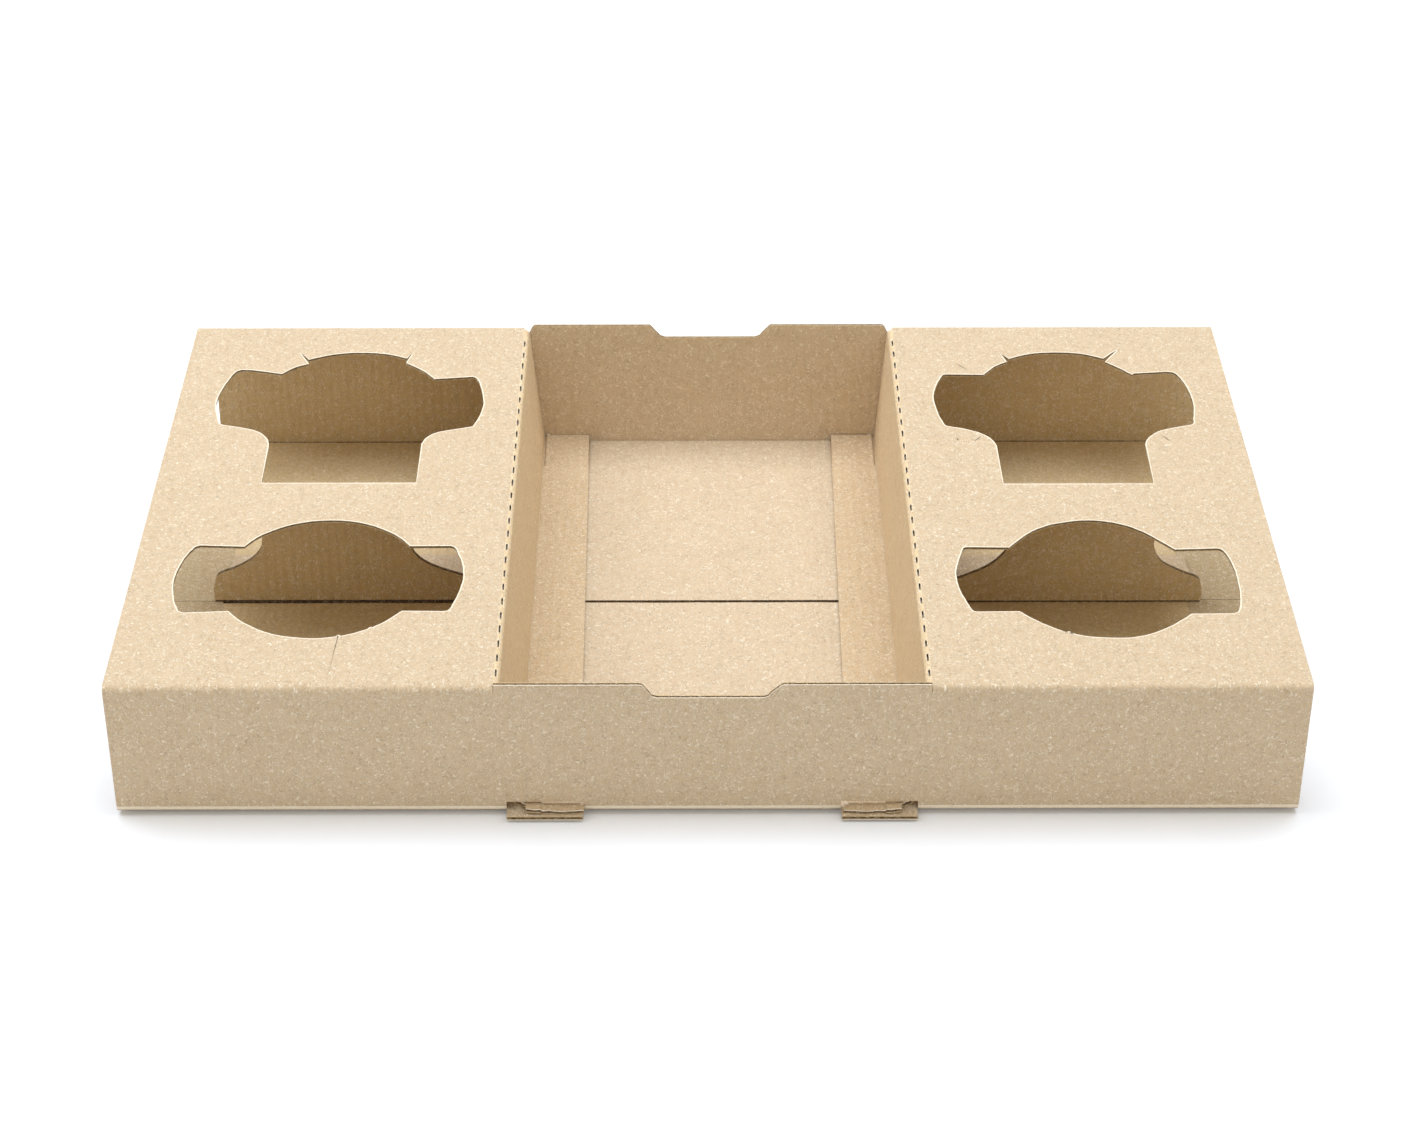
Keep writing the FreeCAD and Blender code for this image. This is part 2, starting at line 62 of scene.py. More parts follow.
# The sleeve: its ends across, and how far from the middle its folds and seam are on the flat sheet
LEFT_END = -191.4
RIGHT_END = 188.6
SLEEVE_FLUTES = 119
SLEEVE_LINER_COLUMNS = 38
FRONT_TOP_LINE = 118.4025
FRONT_FOOT_LINE = 166.8555
FRONT_SEAM = 289.5
SEAM_SPARE = 1.27
BACK_TOP_LINE = 118.5
BACK_FOOT_LINE = 166.9
BACK_SEAM = 281.45
FRONT_LEAN = math.degrees(math.atan(2.4 / TOP))
FRONT_LIFT = 0.4
TABLE_GAP = 0.9

# The tray's mouth and the walls that stand up in it
MOUTH_HALF = 69.0
FRONT_WALL_HALF = 68.85
BACK_WALL_HALF = 66.1
WALL_EDGE_FRONT = -117.604
WALL_EDGE_BACK = 117.8
NOTCH_DEPTH = 5.1

# The cup holes, and the partitions that hang between them
HOLE_OFFSET = 128.2
FRONT_HOLE = -56.0
REAR_HOLE = 63.3
LEFT_PARTITION_LINE = 5.0
RIGHT_PARTITION_LINE = 3.8
PARTITION_HEIGHT = 44.9
PARTITION_FOOT = 26.9
PARTITION_FOOT_HALF = 42.5
PARTITION_FLUTES = 30
PARTITION_LINER_COLUMNS = 10
CORNER_PUSHES = ((1, (0, -0.14, -0.58)), (2, (0, -0.52, -0.38)), (3, (0, -0.35, -0.02)))
HOLE_INNER = 76
HOLE_OUTER = 180
HOLE_BACK = 112

# The dies, and what they leave: rims and marks lie this deep in the liner; the rims carry a painted
# highlight, the marks painted shade
DIE_REACH = 8
RIM_WIDTH = 0.42
RIM_DIP = 0.03
MARK_DIP = 0.08
DIP_SPAN = 0.004
CRUSH = 0.66
# The width of the painted highlight along the foot of the front.
FOOT_HIGHLIGHT_WIDTH = 0.5
CREASE_HEIGHT = 1.3
TRAY_CREASE = (66, 1.0, 1.0)
CELL_CREASE = (74, 186, 2.0, 1.5)

# The slots in the feet of the walls, and the tongues of the floor under them
TONGUE_INNER = 41.5
TONGUE_OUTER = 66.0
TONGUE_REACH = 4.2
BACK_TONGUE_REACH = 4.3
FRONT_SLOT_RISE = 2.2
BACK_SLOT_RISE = 2.4
BACK_SLOTS = {-1: (45.3, 61.5), 1: (46.7, 61.5)}
SLIT = 0.12
SLIT_PAST_FOOT = 2.3

# The tray's sides, with their perforated folds and their flanges
SIDE_STEP = 45.243 / 85
SIDE_BEND = SIDE_STEP * BEND_STEPS
SIDE_COLUMNS = 134
SIDE_FOOT_LINE = MOUTH_HALF - SIDE_BEND - 45.243
FLANGE = 18.3
FLANGE_RISE_BACK = 1.3
FLANGE_RISE_FRONT = 0.6
CUTS = 27
FIRST_CUT = -114.3
CUT_PITCH = 8.4
CUT_LENGTH = 4.2
CUT_EDGES = (0.82, 0.30)
CUT_DEPTH = 0.8
CUT_RIM = 0.09
SCORES = 36
FIRST_SCORE = -112.0
SCORE_PITCH = 6.3
SCORE_WIDTH = 0.26
SCORE_DEPTH = 0.4

# The places in the list of finishes
(OUTSIDE, INSIDE_AND_SHADE, FLUTING_AND_SHADE, CUT_EDGE_AND_SHADE, LIT_TRAY_FLOOR, PAINTED_HIGHLIGHT, PAINTED_SHADE, LIT_CELL_FLOOR, LIT_TRAY_SIDE, TRAY_FLANGE,
 SHADED_END_FLOOR) = range(11)
TRAY_HALF = 70
CELL_INNER = 72
CELL_OUTER = 168
FLOOR_SEAM_ZONE = 270

CAMERA_PLACE = (-7.08, -971.5, 629.14)
CAMERA_DOWN = 32.022
CAMERA_YAW = 0.00398
CAMERA_ROLL = 0.00051
CAMERA_LENS = 84.32
FRONT_LIGHT = 0.88
BACK_LIGHT = 0.46
TABLE_GLOW = 0.08


def only(piece):
    """Makes this piece the one that is selected and active."""
    if bpy.context.mode != "OBJECT":
        bpy.ops.object.mode_set(mode="OBJECT")
    bpy.ops.object.select_all(action="DESELECT")
    piece.select_set(True)
    bpy.context.view_layer.objects.active = piece


def places_of(piece):
    """Where the piece's vertices are, one row each."""
    places = np.empty(len(piece.data.vertices) * 3)
    piece.data.vertices.foreach_get("co", places)
    return places.reshape(-1, 3)


def choose(piece, chosen):
    """Opens a piece in edit mode with just the chosen vertices selected."""
    only(piece)
    mesh = piece.data
    ends = np.empty(len(mesh.edges) * 2, int)
    mesh.edges.foreach_get("vertices", ends)
    mesh.vertices.foreach_set("select", chosen)
    mesh.edges.foreach_set("select", chosen[ends.reshape(-1, 2)].all(1))
    mesh.polygons.foreach_set("select", np.zeros(len(mesh.polygons), bool))
    bpy.ops.object.mode_set(mode="EDIT")


def move(piece, chosen, by):
    """Moves the chosen vertices of a piece."""
    choose(piece, chosen)
    bpy.ops.transform.translate(value=by)
    bpy.ops.object.mode_set(mode="OBJECT")


def paper(name, low_x, high_x, rows, columns, height, thickness, wave=0.0):
    """One paper of the board, laid flat: strips drawn out along the rows, then given their thickness."""
    bpy.ops.object.select_all(action="DESELECT")
    bpy.ops.mesh.primitive_grid_add(x_subdivisions=columns, y_subdivisions=1, size=1)
    piece = bpy.context.object
    piece.name = name
    bpy.ops.object.mode_set(mode="EDIT")
    bpy.ops.transform.resize(value=(high_x - low_x, rows[1] - rows[0], 1))
    bpy.ops.transform.translate(value=((low_x + high_x) / 2, (rows[0] + rows[1]) / 2, height))
    bpy.ops.object.mode_set(mode="OBJECT")
    if wave:
        across = (places_of(piece)[:, 0] - low_x) / (high_x - low_x)
        phase = np.rint(across * columns).astype(int) % COLUMNS_A_FLUTE
        for turn in range(COLUMNS_A_FLUTE // 2 + 1):
            chosen = (phase == turn) | (phase == (COLUMNS_A_FLUTE - turn) % COLUMNS_A_FLUTE)
            move(piece, chosen, (0, 0, wave * math.cos(turn * 2 * math.pi / COLUMNS_A_FLUTE)))
    choose(piece, np.abs(places_of(piece)[:, 1] - rows[1]) < 1e-3)
    for before, after in zip(rows[1:], rows[2:]):
        bpy.ops.mesh.extrude_region_move(TRANSFORM_OT_translate={"value": (0, after - before, 0)})
    bpy.ops.object.mode_set(mode="OBJECT")
    wall = piece.modifiers.new("thickness", "SOLIDIFY")
    wall.thickness = thickness
    wall.offset = 0
    bpy.ops.object.modifier_apply(modifier=wall.name)
    return piece


def joined(name, pieces):
    """Several pieces as one."""
    only(pieces[0])
    for piece in pieces[1:]:
        piece.select_set(True)
    bpy.ops.object.join()
    pieces[0].name = name
    pieces[0].data.name = name
    return pieces[0]


def board(name, low_x, high_x, rows, flute_columns, liner_columns):
    """A flat blank of fluted board: two liners and the fluting between them."""
    fluting = paper("fluting", low_x, high_x, rows, flute_columns, TOP - BOARD / 2, FLUTE_PAPER, FLUTE_RISE)
    outside = paper("outside", low_x, high_x, rows, liner_columns, TOP - LINER / 2, LINER)
    inside = paper("inside", low_x, high_x, rows, liner_columns, TOP - BOARD + LINER / 2, LINER)
    return joined(name, [fluting, outside, inside])


def smooth(points, steps=4):
    """Points of a smooth curve through the given ones, without the last of them."""
    whole = [points[0], *points, points[-1]]
    curve = []
    for four in zip(whole, whole[1:], whole[2:], whole[3:]):
        for part in range(steps):
            t = part / steps
            pulls = ((-t ** 3 + 2 * t ** 2 - t) / 2, (3 * t ** 3 - 5 * t ** 2 + 2) / 2,
                     (-3 * t ** 3 + 4 * t ** 2 + t) / 2, (t ** 3 - t ** 2) / 2)
            curve.append(tuple(sum(pull * point[axis] for pull, point in zip(pulls, four))
                               for axis in (0, 1)))
    return curve


def outline_of(*strokes):
    """A closed outline of strokes, each starting where the one before it ends; long ones are smooth."""
    return [point for stroke in strokes for point in (smooth(stroke) if len(stroke) > 2 else stroke[:1])]


def ragged(points, seed, by=0.07):
    """The same outline, a little unsteady."""
    chance = random.Random(seed)
    return [(x + chance.uniform(-by, by), y + chance.uniform(-by, by)) for x, y in points]


def grown(points, by):
    """The same anticlockwise outline, a little larger all round."""
    larger = []
    for before, point, after in zip(points[-1:] + points[:-1], points, points[1:] + points[:1]):
        run = (after[0] - before[0], after[1] - before[1])
        length = math.hypot(*run)
        larger.append((point[0] + run[1] / length * by, point[1] - run[0] / length * by))
    return larger


def sliver(points, width=0.5):
    """Outline of a thin crease mark along the points, pointed at both ends."""
    inner = grown(points, width)[1:-1]
    return points + inner[::-1]


def shifted(points, across, back):
    """The same points moved."""
    return [(x + across, y + back) for x, y in points]


def slot(left, right, front, back):
    """Outline of a narrow slot with round ends."""
    half = (right - left) / 2
    middle = (left + right) / 2
    return ([(middle + half * math.cos(turn), front + half + half * math.sin(turn))
             for turn in (-math.pi, -2.36, -math.pi / 2, -0.79, 0)]
            + [(middle + half * math.cos(turn), back - half + half * math.sin(turn))
               for turn in (0, 0.79, math.pi / 2, 2.36, math.pi)])


def die(name, corners, low=TOP - DIE_REACH, high=TOP + DIE_REACH):
    """A cutting die with this outline, drawn corner by corner and then raised."""
    bpy.ops.object.select_all(action="DESELECT")
    bpy.ops.mesh.primitive_plane_add(size=1, location=(0, 0, 0))
    piece = bpy.context.object
    piece.name = name
    bpy.ops.object.mode_set(mode="EDIT")
    bpy.ops.mesh.select_mode(type="VERT")
    bpy.ops.mesh.select_all(action="SELECT")
    bpy.ops.mesh.merge(type="CENTER")
    bpy.ops.mesh.select_all(action="SELECT")
    bpy.ops.transform.translate(value=(corners[0][0], corners[0][1], low))
    for before, after in zip(corners, corners[1:]):
        step = (after[0] - before[0], after[1] - before[1], 0)
        bpy.ops.mesh.extrude_region_move(TRANSFORM_OT_translate={"value": step})
    bpy.ops.mesh.select_all(action="SELECT")
    bpy.ops.mesh.edge_face_add()
    bpy.ops.mesh.extrude_region_move(TRANSFORM_OT_translate={"value": (0, 0, high - low)})
    bpy.ops.mesh.select_all(action="SELECT")
    bpy.ops.mesh.normals_make_consistent(inside=False)
    bpy.ops.object.mode_set(mode="OBJECT")
    return piece


def stamp(piece, dies, keep_inside=False):
    """Cuts a flat board with dies, or keeps only what lies inside them."""
    tool = joined("die", dies)
    only(piece)
    cut = piece.modifiers.new("cut", "BOOLEAN")
    cut.operation = "INTERSECT" if keep_inside else "DIFFERENCE"
    cut.solver = "MANIFOLD"
    cut.object = tool
    bpy.ops.object.modifier_apply(modifier=cut.name)
    bpy.data.objects.remove(tool)


def fold(piece, flat, axis, way, line, angle, step=ROW_STEP, upwards=False, also=None):
    """Folds all of the sheet past a line: the bend is turned step by step, starting with its far end.

    axis is 0 for a fold met on the way across and 1 for one met on the way back, way is 1 or -1,
    line is how far along that way the bend starts, and also marks vertices that go with the far part.
    """
    far = flat[:, axis] * way
    height = TOP + INNER_BEND if upwards else TOP - OUTER_BEND
    sense = way * (1 if axis == 1 else -1) * (-1 if upwards else 1)
    turn = math.radians(angle) / BEND_STEPS * sense
    for number in range(BEND_STEPS, 0, -1):
        chosen = far > line + number * step - 0.02
        if also is not None:
            chosen = chosen | also
        back = [0.0, 0.0, 0.0]
        back[axis] = -step * way
        centre = [0.0, 0.0, height]
        centre[axis] = (line + (number - 1) * step) * way
        choose(piece, chosen)
        bpy.ops.transform.translate(value=back)
        bpy.ops.transform.rotate(value=turn, orient_axis="X" if axis == 1 else "Y", center_override=centre)
        bpy.ops.object.mode_set(mode="OBJECT")


def rows_between(low, high, most):
    """Evenly spaced rows from low up to, not including, high."""
    count = max(1, math.ceil((high - low) / most))
    return [low + (high - low) * number / count for number in range(count)]


def bend_rows(line):
    """The rows of a bend, from its start to one step before its end."""
    return [line + ROW_STEP * number for number in range(BEND_STEPS)]


def lay_map(piece):
    """Lays the flat sheet's own map on a piece, in centimetres, while it still lies flat."""
    mesh = piece.data
    if not mesh.uv_layers.get("sheet"):
        mesh.uv_layers.new(name="sheet")
    for other in [spare for spare in mesh.uv_layers if spare.name != "sheet"]:
        mesh.uv_layers.remove(other)
    corners = np.empty(len(mesh.loops), int)
    mesh.loops.foreach_get("vertex_index", corners)
    mesh.uv_layers["sheet"].data.foreach_set("uv", (places_of(piece)[corners][:, :2] / 10).ravel())


def faces_of(piece):
    """The middles of the piece's faces, one row each, and how far each face looks upwards."""
    mesh = piece.data
    middles = np.empty(len(mesh.polygons) * 3)
    normals = np.empty(len(mesh.polygons) * 3)
    mesh.polygons.foreach_get("center", middles)
    mesh.polygons.foreach_get("normal", normals)
    return middles.reshape(-1, 3), normals.reshape(-1, 3)[:, 2]


def papers(middles):
    """The finish of each face of a flat board by the paper it belongs to, with painted light and shade on the
    inside liner.
    """
    height = middles[:, 2]
    # Between the liners, the fluting, darkened as painted shade in its hollows.
    finish = np.full(len(height), FLUTING_AND_SHADE)
    finish[height > TOP - LINER * 1.02] = OUTSIDE
    # The inside liner: partly its own browner tone, partly darker as painted shade for the cells.
    finish[height < TOP - BOARD + LINER * 1.02] = INSIDE_AND_SHADE
    # Within the tray's width, the inside takes a paler copy: painted light for the open tray.
    finish[(finish == INSIDE_AND_SHADE) & (np.abs(middles[:, 0]) < TRAY_HALF)] = LIT_TRAY_FLOOR
    return finish


def is_dip(middles, upward, depth, span=DIP_SPAN):
    """Which faces are the bottom of a dip of this depth in the outside."""
    return (upward > 0.9) & (np.abs(middles[:, 2] - TOP + depth) < span)


def mark_cuts(finish, middles, upward):
    """Marks the cut edges and pressed rims of the sleeve or a tray side: the outer liner's cut faces and the
    rims are pale, a painted highlight, and the crease marks dark, painted shade.
    """
    height = middles[:, 2]
    cut = np.abs(upward) < 0.3
    # The cut faces are darkened, partly as painted shade in the flutes; past FLOOR_SEAM_ZONE, at the floor
    # seam, they all stay dark, painted shade in its gap.
    finish[cut] = CUT_EDGE_AND_SHADE
    near = cut & (np.abs(middles[:, 1]) < FLOOR_SEAM_ZONE)
    finish[near & (height < TOP - BOARD + LINER)] = INSIDE_AND_SHADE
    # The outer liner's cut faces are pale: a painted highlight.
    finish[near & (height > TOP - LINER)] = PAINTED_HIGHLIGHT
    # The shallow dips round the holes and cuts and along the foot of the front are pale: a painted highlight.
    finish[is_dip(middles, upward, RIM_DIP)] = PAINTED_HIGHLIGHT
    # The dipped crease marks are near-black: painted shade.
    finish[is_dip(middles, upward, MARK_DIP)] = PAINTED_SHADE


def give_finish(piece, finish):
    """Gives each face its finish."""
    mesh = piece.data
    mesh.materials.clear()
    for material in FINISHES:
        mesh.materials.append(material)
    mesh.polygons.foreach_set("material_index", finish)
    mesh.polygons.foreach_set("use_smooth", (finish != CUT_EDGE_AND_SHADE) & (finish != PAINTED_HIGHLIGHT))


def finish_sleeve(piece):
    """Lays the map and the finishes on the flat sleeve, with painted light and shade on its floors, painted
    shade in a crease and a painted highlight along the foot of the front.
    """
    lay_map(piece)
    middles, upward = faces_of(piece)
    finish = papers(middles)
    across, back = np.abs(middles[:, 0]), middles[:, 1]
    # The floor seen through the cup holes takes a brighter copy, painted light coming through them, and the
    # floor near the open ends a darker copy, painted shade.
    floor = (finish == INSIDE_AND_SHADE) & (across > CELL_INNER) & (np.abs(back) > BACK_FOOT_LINE + BEND)
    finish[floor] = np.where(across[floor] < CELL_OUTER, LIT_CELL_FLOOR, SHADED_END_FLOOR)
    mark_cuts(finish, middles, upward)
    # In each cell, the inside liner in the crease at the foot of the back wall is painted dark as shade in
    # the fold.
    start, end, line, width = CELL_CREASE
    crease_shade = (across > start) & (across < end) & (np.abs(back - BACK_FOOT_LINE - line) < width / 2)
    finish[crease_shade & (middles[:, 2] < TOP - 1)] = CUT_EDGE_AND_SHADE
    # A pale line along the foot of the front, in the first row of the bend: a painted highlight on the fold.
    foot_highlight = back + FRONT_FOOT_LINE
    finish[(finish == OUTSIDE) & (foot_highlight < 0) & (foot_highlight > -ROW_STEP)] = PAINTED_HIGHLIGHT
    give_finish(piece, finish)


def finish_partition(piece, foot_bend):
    """Lays the map and the finishes on a flat partition: dark edges, and a dark corner at its foot, both
    painted shade.
    """
    lay_map(piece)
    middles, upward = faces_of(piece)
    finish = papers(middles)
    # The corner at the foot, where the partition meets the floor, and the cut edges are painted near-black:
    # painted shade.
    corner = np.abs(middles[:, 1] - foot_bend - 1.5 * ROW_STEP) < ROW_STEP / 2
    finish[(finish == INSIDE_AND_SHADE) & corner] = PAINTED_SHADE
    finish[np.abs(upward) < 0.3] = PAINTED_SHADE
    give_finish(piece, finish)


def finish_tray_side(piece):
    """Lays the map and the finishes on a flat tray side, with painted light on its side and painted shade in
    its cuts.
    """
    lay_map(piece)
    middles, upward = faces_of(piece)
    finish = papers(middles)
    # The side takes a brighter copy of the paper as painted light; the flange keeps a tone near the plain
    # outside.
    outside = finish == OUTSIDE
    in_side = np.abs(middles[:, 0]) > SIDE_FOOT_LINE - SIDE_BEND / 2
    finish[outside] = np.where(in_side[outside], LIT_TRAY_SIDE, TRAY_FLANGE)
    mark_cuts(finish, middles, upward)
    # The bottoms of the perforation cuts are painted near-black: painted shade in the cuts.
    finish[is_dip(middles, upward, CUT_DEPTH, 0.02)] = PAINTED_SHADE
    give_finish(piece, finish)


def crush_rims(piece):
    """Presses the board flatter along the rims of the cup holes, as cutting it does."""
    mesh = piece.data
    finish = np.empty(len(mesh.polygons), int)
    sizes = np.empty(len(mesh.polygons), int)
    corners = np.empty(len(mesh.loops), int)
    mesh.polygons.foreach_get("material_index", finish)
    mesh.polygons.foreach_get("loop_total", sizes)
    mesh.loops.foreach_get("vertex_index", corners)
    rim = (np.abs(faces_of(piece)[1]) < 0.3) | (finish == PAINTED_HIGHLIGHT)
    cut = np.zeros(len(mesh.vertices), bool)
    cut[corners[np.repeat(rim, sizes)]] = True
    flat = places_of(piece)
    across = np.abs(flat[:, 0])
    choose(piece, cut & (across > HOLE_INNER) & (across < HOLE_OUTER) & (np.abs(flat[:, 1]) < HOLE_BACK))
    bpy.ops.transform.resize(value=(1, 1, CRUSH), center_override=(0, 0, TOP))
    bpy.ops.object.mode_set(mode="OBJECT")


def finished(piece, replaces=False):
    """Brings a piece to metres and sets it on the carrier."""
    only(piece)
    bpy.ops.object.mode_set(mode="EDIT")
    bpy.ops.mesh.select_all(action="SELECT")
    bpy.ops.transform.resize(value=(0.001, 0.001, 0.001), center_override=(0, 0, 0))
    bpy.ops.object.mode_set(mode="OBJECT")
    bpy.ops.object.shade_smooth_by_angle(angle=math.radians(38))
    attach(piece, "root")
    if replaces:
        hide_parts("folded_carrier")


# Finishes

def link(tree, *pairs):
    """Joins sockets two by two."""
    for source, target in pairs:
        tree.links.new(source, target)


def add_node(tree, kind, operation=None, **values):
    """Adds a shader node and sets its sockets by name, where a space is written as an underscore."""
    made = tree.nodes.new(kind)
    if operation:
        made.operation = operation
    for name, value in values.items():
        made.inputs[name.replace("_", " ")].default_value = value
    return made


def calculated(tree, operation, first, second=0.0):
    """The result of a Math node on two sockets or numbers."""
    made = add_node(tree, "ShaderNodeMath", operation)
    for place, value in enumerate((first, second)):
        if isinstance(value, (int, float)):
            made.inputs[place].default_value = value
        else:
            tree.links.new(value, made.inputs[place])
    return made.outputs[0]


def noise_of(tree, vector, **values):
    """The strength of a noise that has a seed of its own, W."""
    noise = tree.nodes.new("ShaderNodeTexNoise")
    noise.noise_dimensions = "4D"
    for name, value in values.items():
        noise.inputs[name].default_value = value
    tree.links.new(vector, noise.inputs["Vector"])
    return noise.outputs["Fac"]


def cloud(tree, vector, seed, scale, detail, roughness, low, high):
    """Noise over the sheet, stretched so that low to high becomes nought to one."""
    noise = noise_of(tree, vector, W=seed, Scale=scale, Detail=detail, Roughness=roughness)
    spread = add_node(tree, "ShaderNodeMapRange", From_Min=low, From_Max=high)
    tree.links.new(noise, spread.inputs["Value"])
    return spread.outputs["Result"]


def hair(tree, vector, seed, scale, width):
    """Thin curly lines: where a noise passes through its middle value."""
    noise = noise_of(tree, vector, W=seed, Scale=scale, Detail=1.0, Distortion=0.6)
    away = calculated(tree, "ABSOLUTE", calculated(tree, "SUBTRACT", noise, 0.5))
    line = add_node(tree, "ShaderNodeMapRange", From_Min=width, From_Max=0.0)
    line.interpolation_type = "SMOOTHSTEP"
    tree.links.new(away, line.inputs["Value"])
    return line.outputs["Result"]


def tinted(tree, colour, tint, amount):
    """Mixes a tint into a colour."""
    mix = tree.nodes.new("ShaderNodeMix")
    mix.data_type = "RGBA"
    sockets = [socket for socket in mix.inputs if socket.type == "RGBA"]
    sockets[1].default_value = (*tint, 1)
    link(tree, (colour, sockets[0]), (amount, mix.inputs["Factor"]))
    return [socket for socket in mix.outputs if socket.type == "RGBA"][0]


def group_sockets(group, inputs, outputs):
    """Gives a shader node group its named inputs, each with a starting value, and its outputs."""
    for name, kind, value in inputs:
        made = group.interface.new_socket(name=name, in_out="INPUT", socket_type=kind)
        if value is not None:
            made.default_value = value
    for name, kind in outputs:
        group.interface.new_socket(name=name, in_out="OUTPUT", socket_type=kind)


def bark_specks(group, sheet):
    """Small dark specks in some of the cells of a Voronoi pattern."""
    bark = add_node(group, "ShaderNodeTexVoronoi", Scale=2.6)
    near = add_node(group, "ShaderNodeMapRange", From_Min=0.055, From_Max=0.02)
    pick = group.nodes.new("ShaderNodeSeparateColor")
    link(group, (sheet, bark.inputs["Vector"]), (bark.outputs["Distance"], near.inputs["Value"]),
         (bark.outputs["Color"], pick.inputs[0]))
    chance = calculated(group, "GREATER_THAN", pick.outputs[0], 0.62)
    return calculated(group, "MULTIPLY", near.outputs["Result"], chance)


def kraft_paper_group():
    """Kraft paper: cloudy tone, curly pale and dark fibres, bark specks, and the fluting showing through."""
    group = bpy.data.node_groups.new("kraft_paper", "ShaderNodeTree")
    group_sockets(group,
                  [("Sheet", "NodeSocketVector", None), ("Paper", "NodeSocketColor", (0.6, 0.46, 0.31, 1)),
                   ("Seed", "NodeSocketFloat", 0.0), ("Fibres", "NodeSocketFloat", 1.0),
                   ("Flute Marks", "NodeSocketFloat", 1.0)],
                  [("Color", "NodeSocketColor"), ("Roughness", "NodeSocketFloat"),
                   ("Height", "NodeSocketFloat")])
    entry = group.nodes.new("NodeGroupInput")
    leave = group.nodes.new("NodeGroupOutput")
    place = group.nodes.new("ShaderNodeCombineXYZ")
    split = group.nodes.new("ShaderNodeSeparateXYZ")
    link(group, (entry.outputs["Sheet"], split.inputs[0]), (split.outputs["X"], place.inputs["X"]),
         (split.outputs["Y"], place.inputs["Y"]), (entry.outputs["Seed"], place.inputs["Z"]))
    sheet = place.outputs[0]
    tone = cloud(group, sheet, 1.0, 0.55, 3.0, 0.55, 0.3, 0.7)
    patch = cloud(group, sheet, 2.0, 3.2, 4.0, 0.65, 0.3, 0.7)
    grain = cloud(group, sheet, 3.0, 24.0, 3.0, 0.7, 0.25, 0.75)
    pale_zones = cloud(group, sheet, 4.0, 5.0, 2.0, 0.5, 0.38, 0.54)
    pale = calculated(group, "MULTIPLY", hair(group, sheet, 5.0, 8.5, 0.06), pale_zones)
    dark_zones = cloud(group, sheet, 6.0, 4.6, 2.0, 0.5, 0.46, 0.6)
    dark = calculated(group, "MULTIPLY", hair(group, sheet, 7.0, 7.6, 0.05), dark_zones)
    short_zones = cloud(group, sheet, 9.0, 9.0, 1.0, 0.5, 0.45, 0.6)
    short = calculated(group, "MULTIPLY", hair(group, sheet, 8.0, 13.0, 0.09), short_zones)
    speck = bark_specks(group, sheet)
    turns = calculated(group, "MULTIPLY", split.outputs["X"], 2 * math.pi * 10 / FLUTE_PITCH)
    flute = calculated(group, "MULTIPLY", calculated(group, "COSINE", turns), entry.outputs["Flute Marks"])

    def by_fibres(value, amount):
        """A part of the paper that is stronger where the finish asks for more fibres."""
        part = calculated(group, "MULTIPLY", value, amount)
        return calculated(group, "MULTIPLY", part, entry.outputs["Fibres"])

    colour = entry.outputs["Paper"]
    for value, amount, tint in ((tone, 0.07, (0.36, 0.23, 0.11)), (patch, 0.08, (0.98, 0.86, 0.68)),
                                (grain, 0.12, (0.30, 0.19, 0.09)), (pale, 0.50, (1.0, 0.90, 0.74)),
                                (dark, 0.32, (0.26, 0.16, 0.08)), (short, 0.16, (0.30, 0.19, 0.10)),
                                (speck, 0.65, (0.16, 0.09, 0.05))):
        colour = tinted(group, colour, tint, by_fibres(value, amount))
    colour = tinted(group, colour, (0.36, 0.24, 0.12), calculated(group, "MULTIPLY", flute, 0.018))
    height = calculated(group, "ADD", by_fibres(grain, 0.30), by_fibres(pale, 0.5))
    height = calculated(group, "ADD", height, by_fibres(patch, 0.35))
    height = calculated(group, "ADD", height, calculated(group, "MULTIPLY", flute, 0.55))
    rough = calculated(group, "ADD", calculated(group, "MULTIPLY", grain, 0.10), 0.82)
    link(group, (colour, leave.inputs["Color"]), (rough, leave.inputs["Roughness"]),
         (height, leave.inputs["Height"]))
    return group


KRAFT_PAPER = kraft_paper_group()


def kraft(name, colour, seed, fibres, flute_marks, relief):
    """A kraft finish: the shared paper with its own tone, and how strongly its fibres and flutes show."""
    material = bpy.data.materials.new(name)
    material.use_nodes = True
    tree = material.node_tree
    shader = tree.nodes["Principled BSDF"]
    shader.inputs["Specular IOR Level"].default_value = 0.3
    shader.inputs["Sheen Weight"].default_value = 0.04
    paper_nodes = tree.nodes.new("ShaderNodeGroup")
    paper_nodes.node_tree = KRAFT_PAPER
    for label, value in (("Paper", (*colour, 1)), ("Seed", seed), ("Fibres", fibres),
                         ("Flute Marks", flute_marks)):
        paper_nodes.inputs[label].default_value = value
    sheet = tree.nodes.new("ShaderNodeUVMap")
    sheet.uv_map = "sheet"
    bump = add_node(tree, "ShaderNodeBump", Strength=relief, Distance=0.0002)
    link(tree, (sheet.outputs["UV"], paper_nodes.inputs["Sheet"]),
         (paper_nodes.outputs["Color"], shader.inputs["Base Color"]),
         (paper_nodes.outputs["Roughness"], shader.inputs["Roughness"]),
         (paper_nodes.outputs["Height"], bump.inputs["Height"]),
         (bump.outputs["Normal"], shader.inputs["Normal"]))
    return material


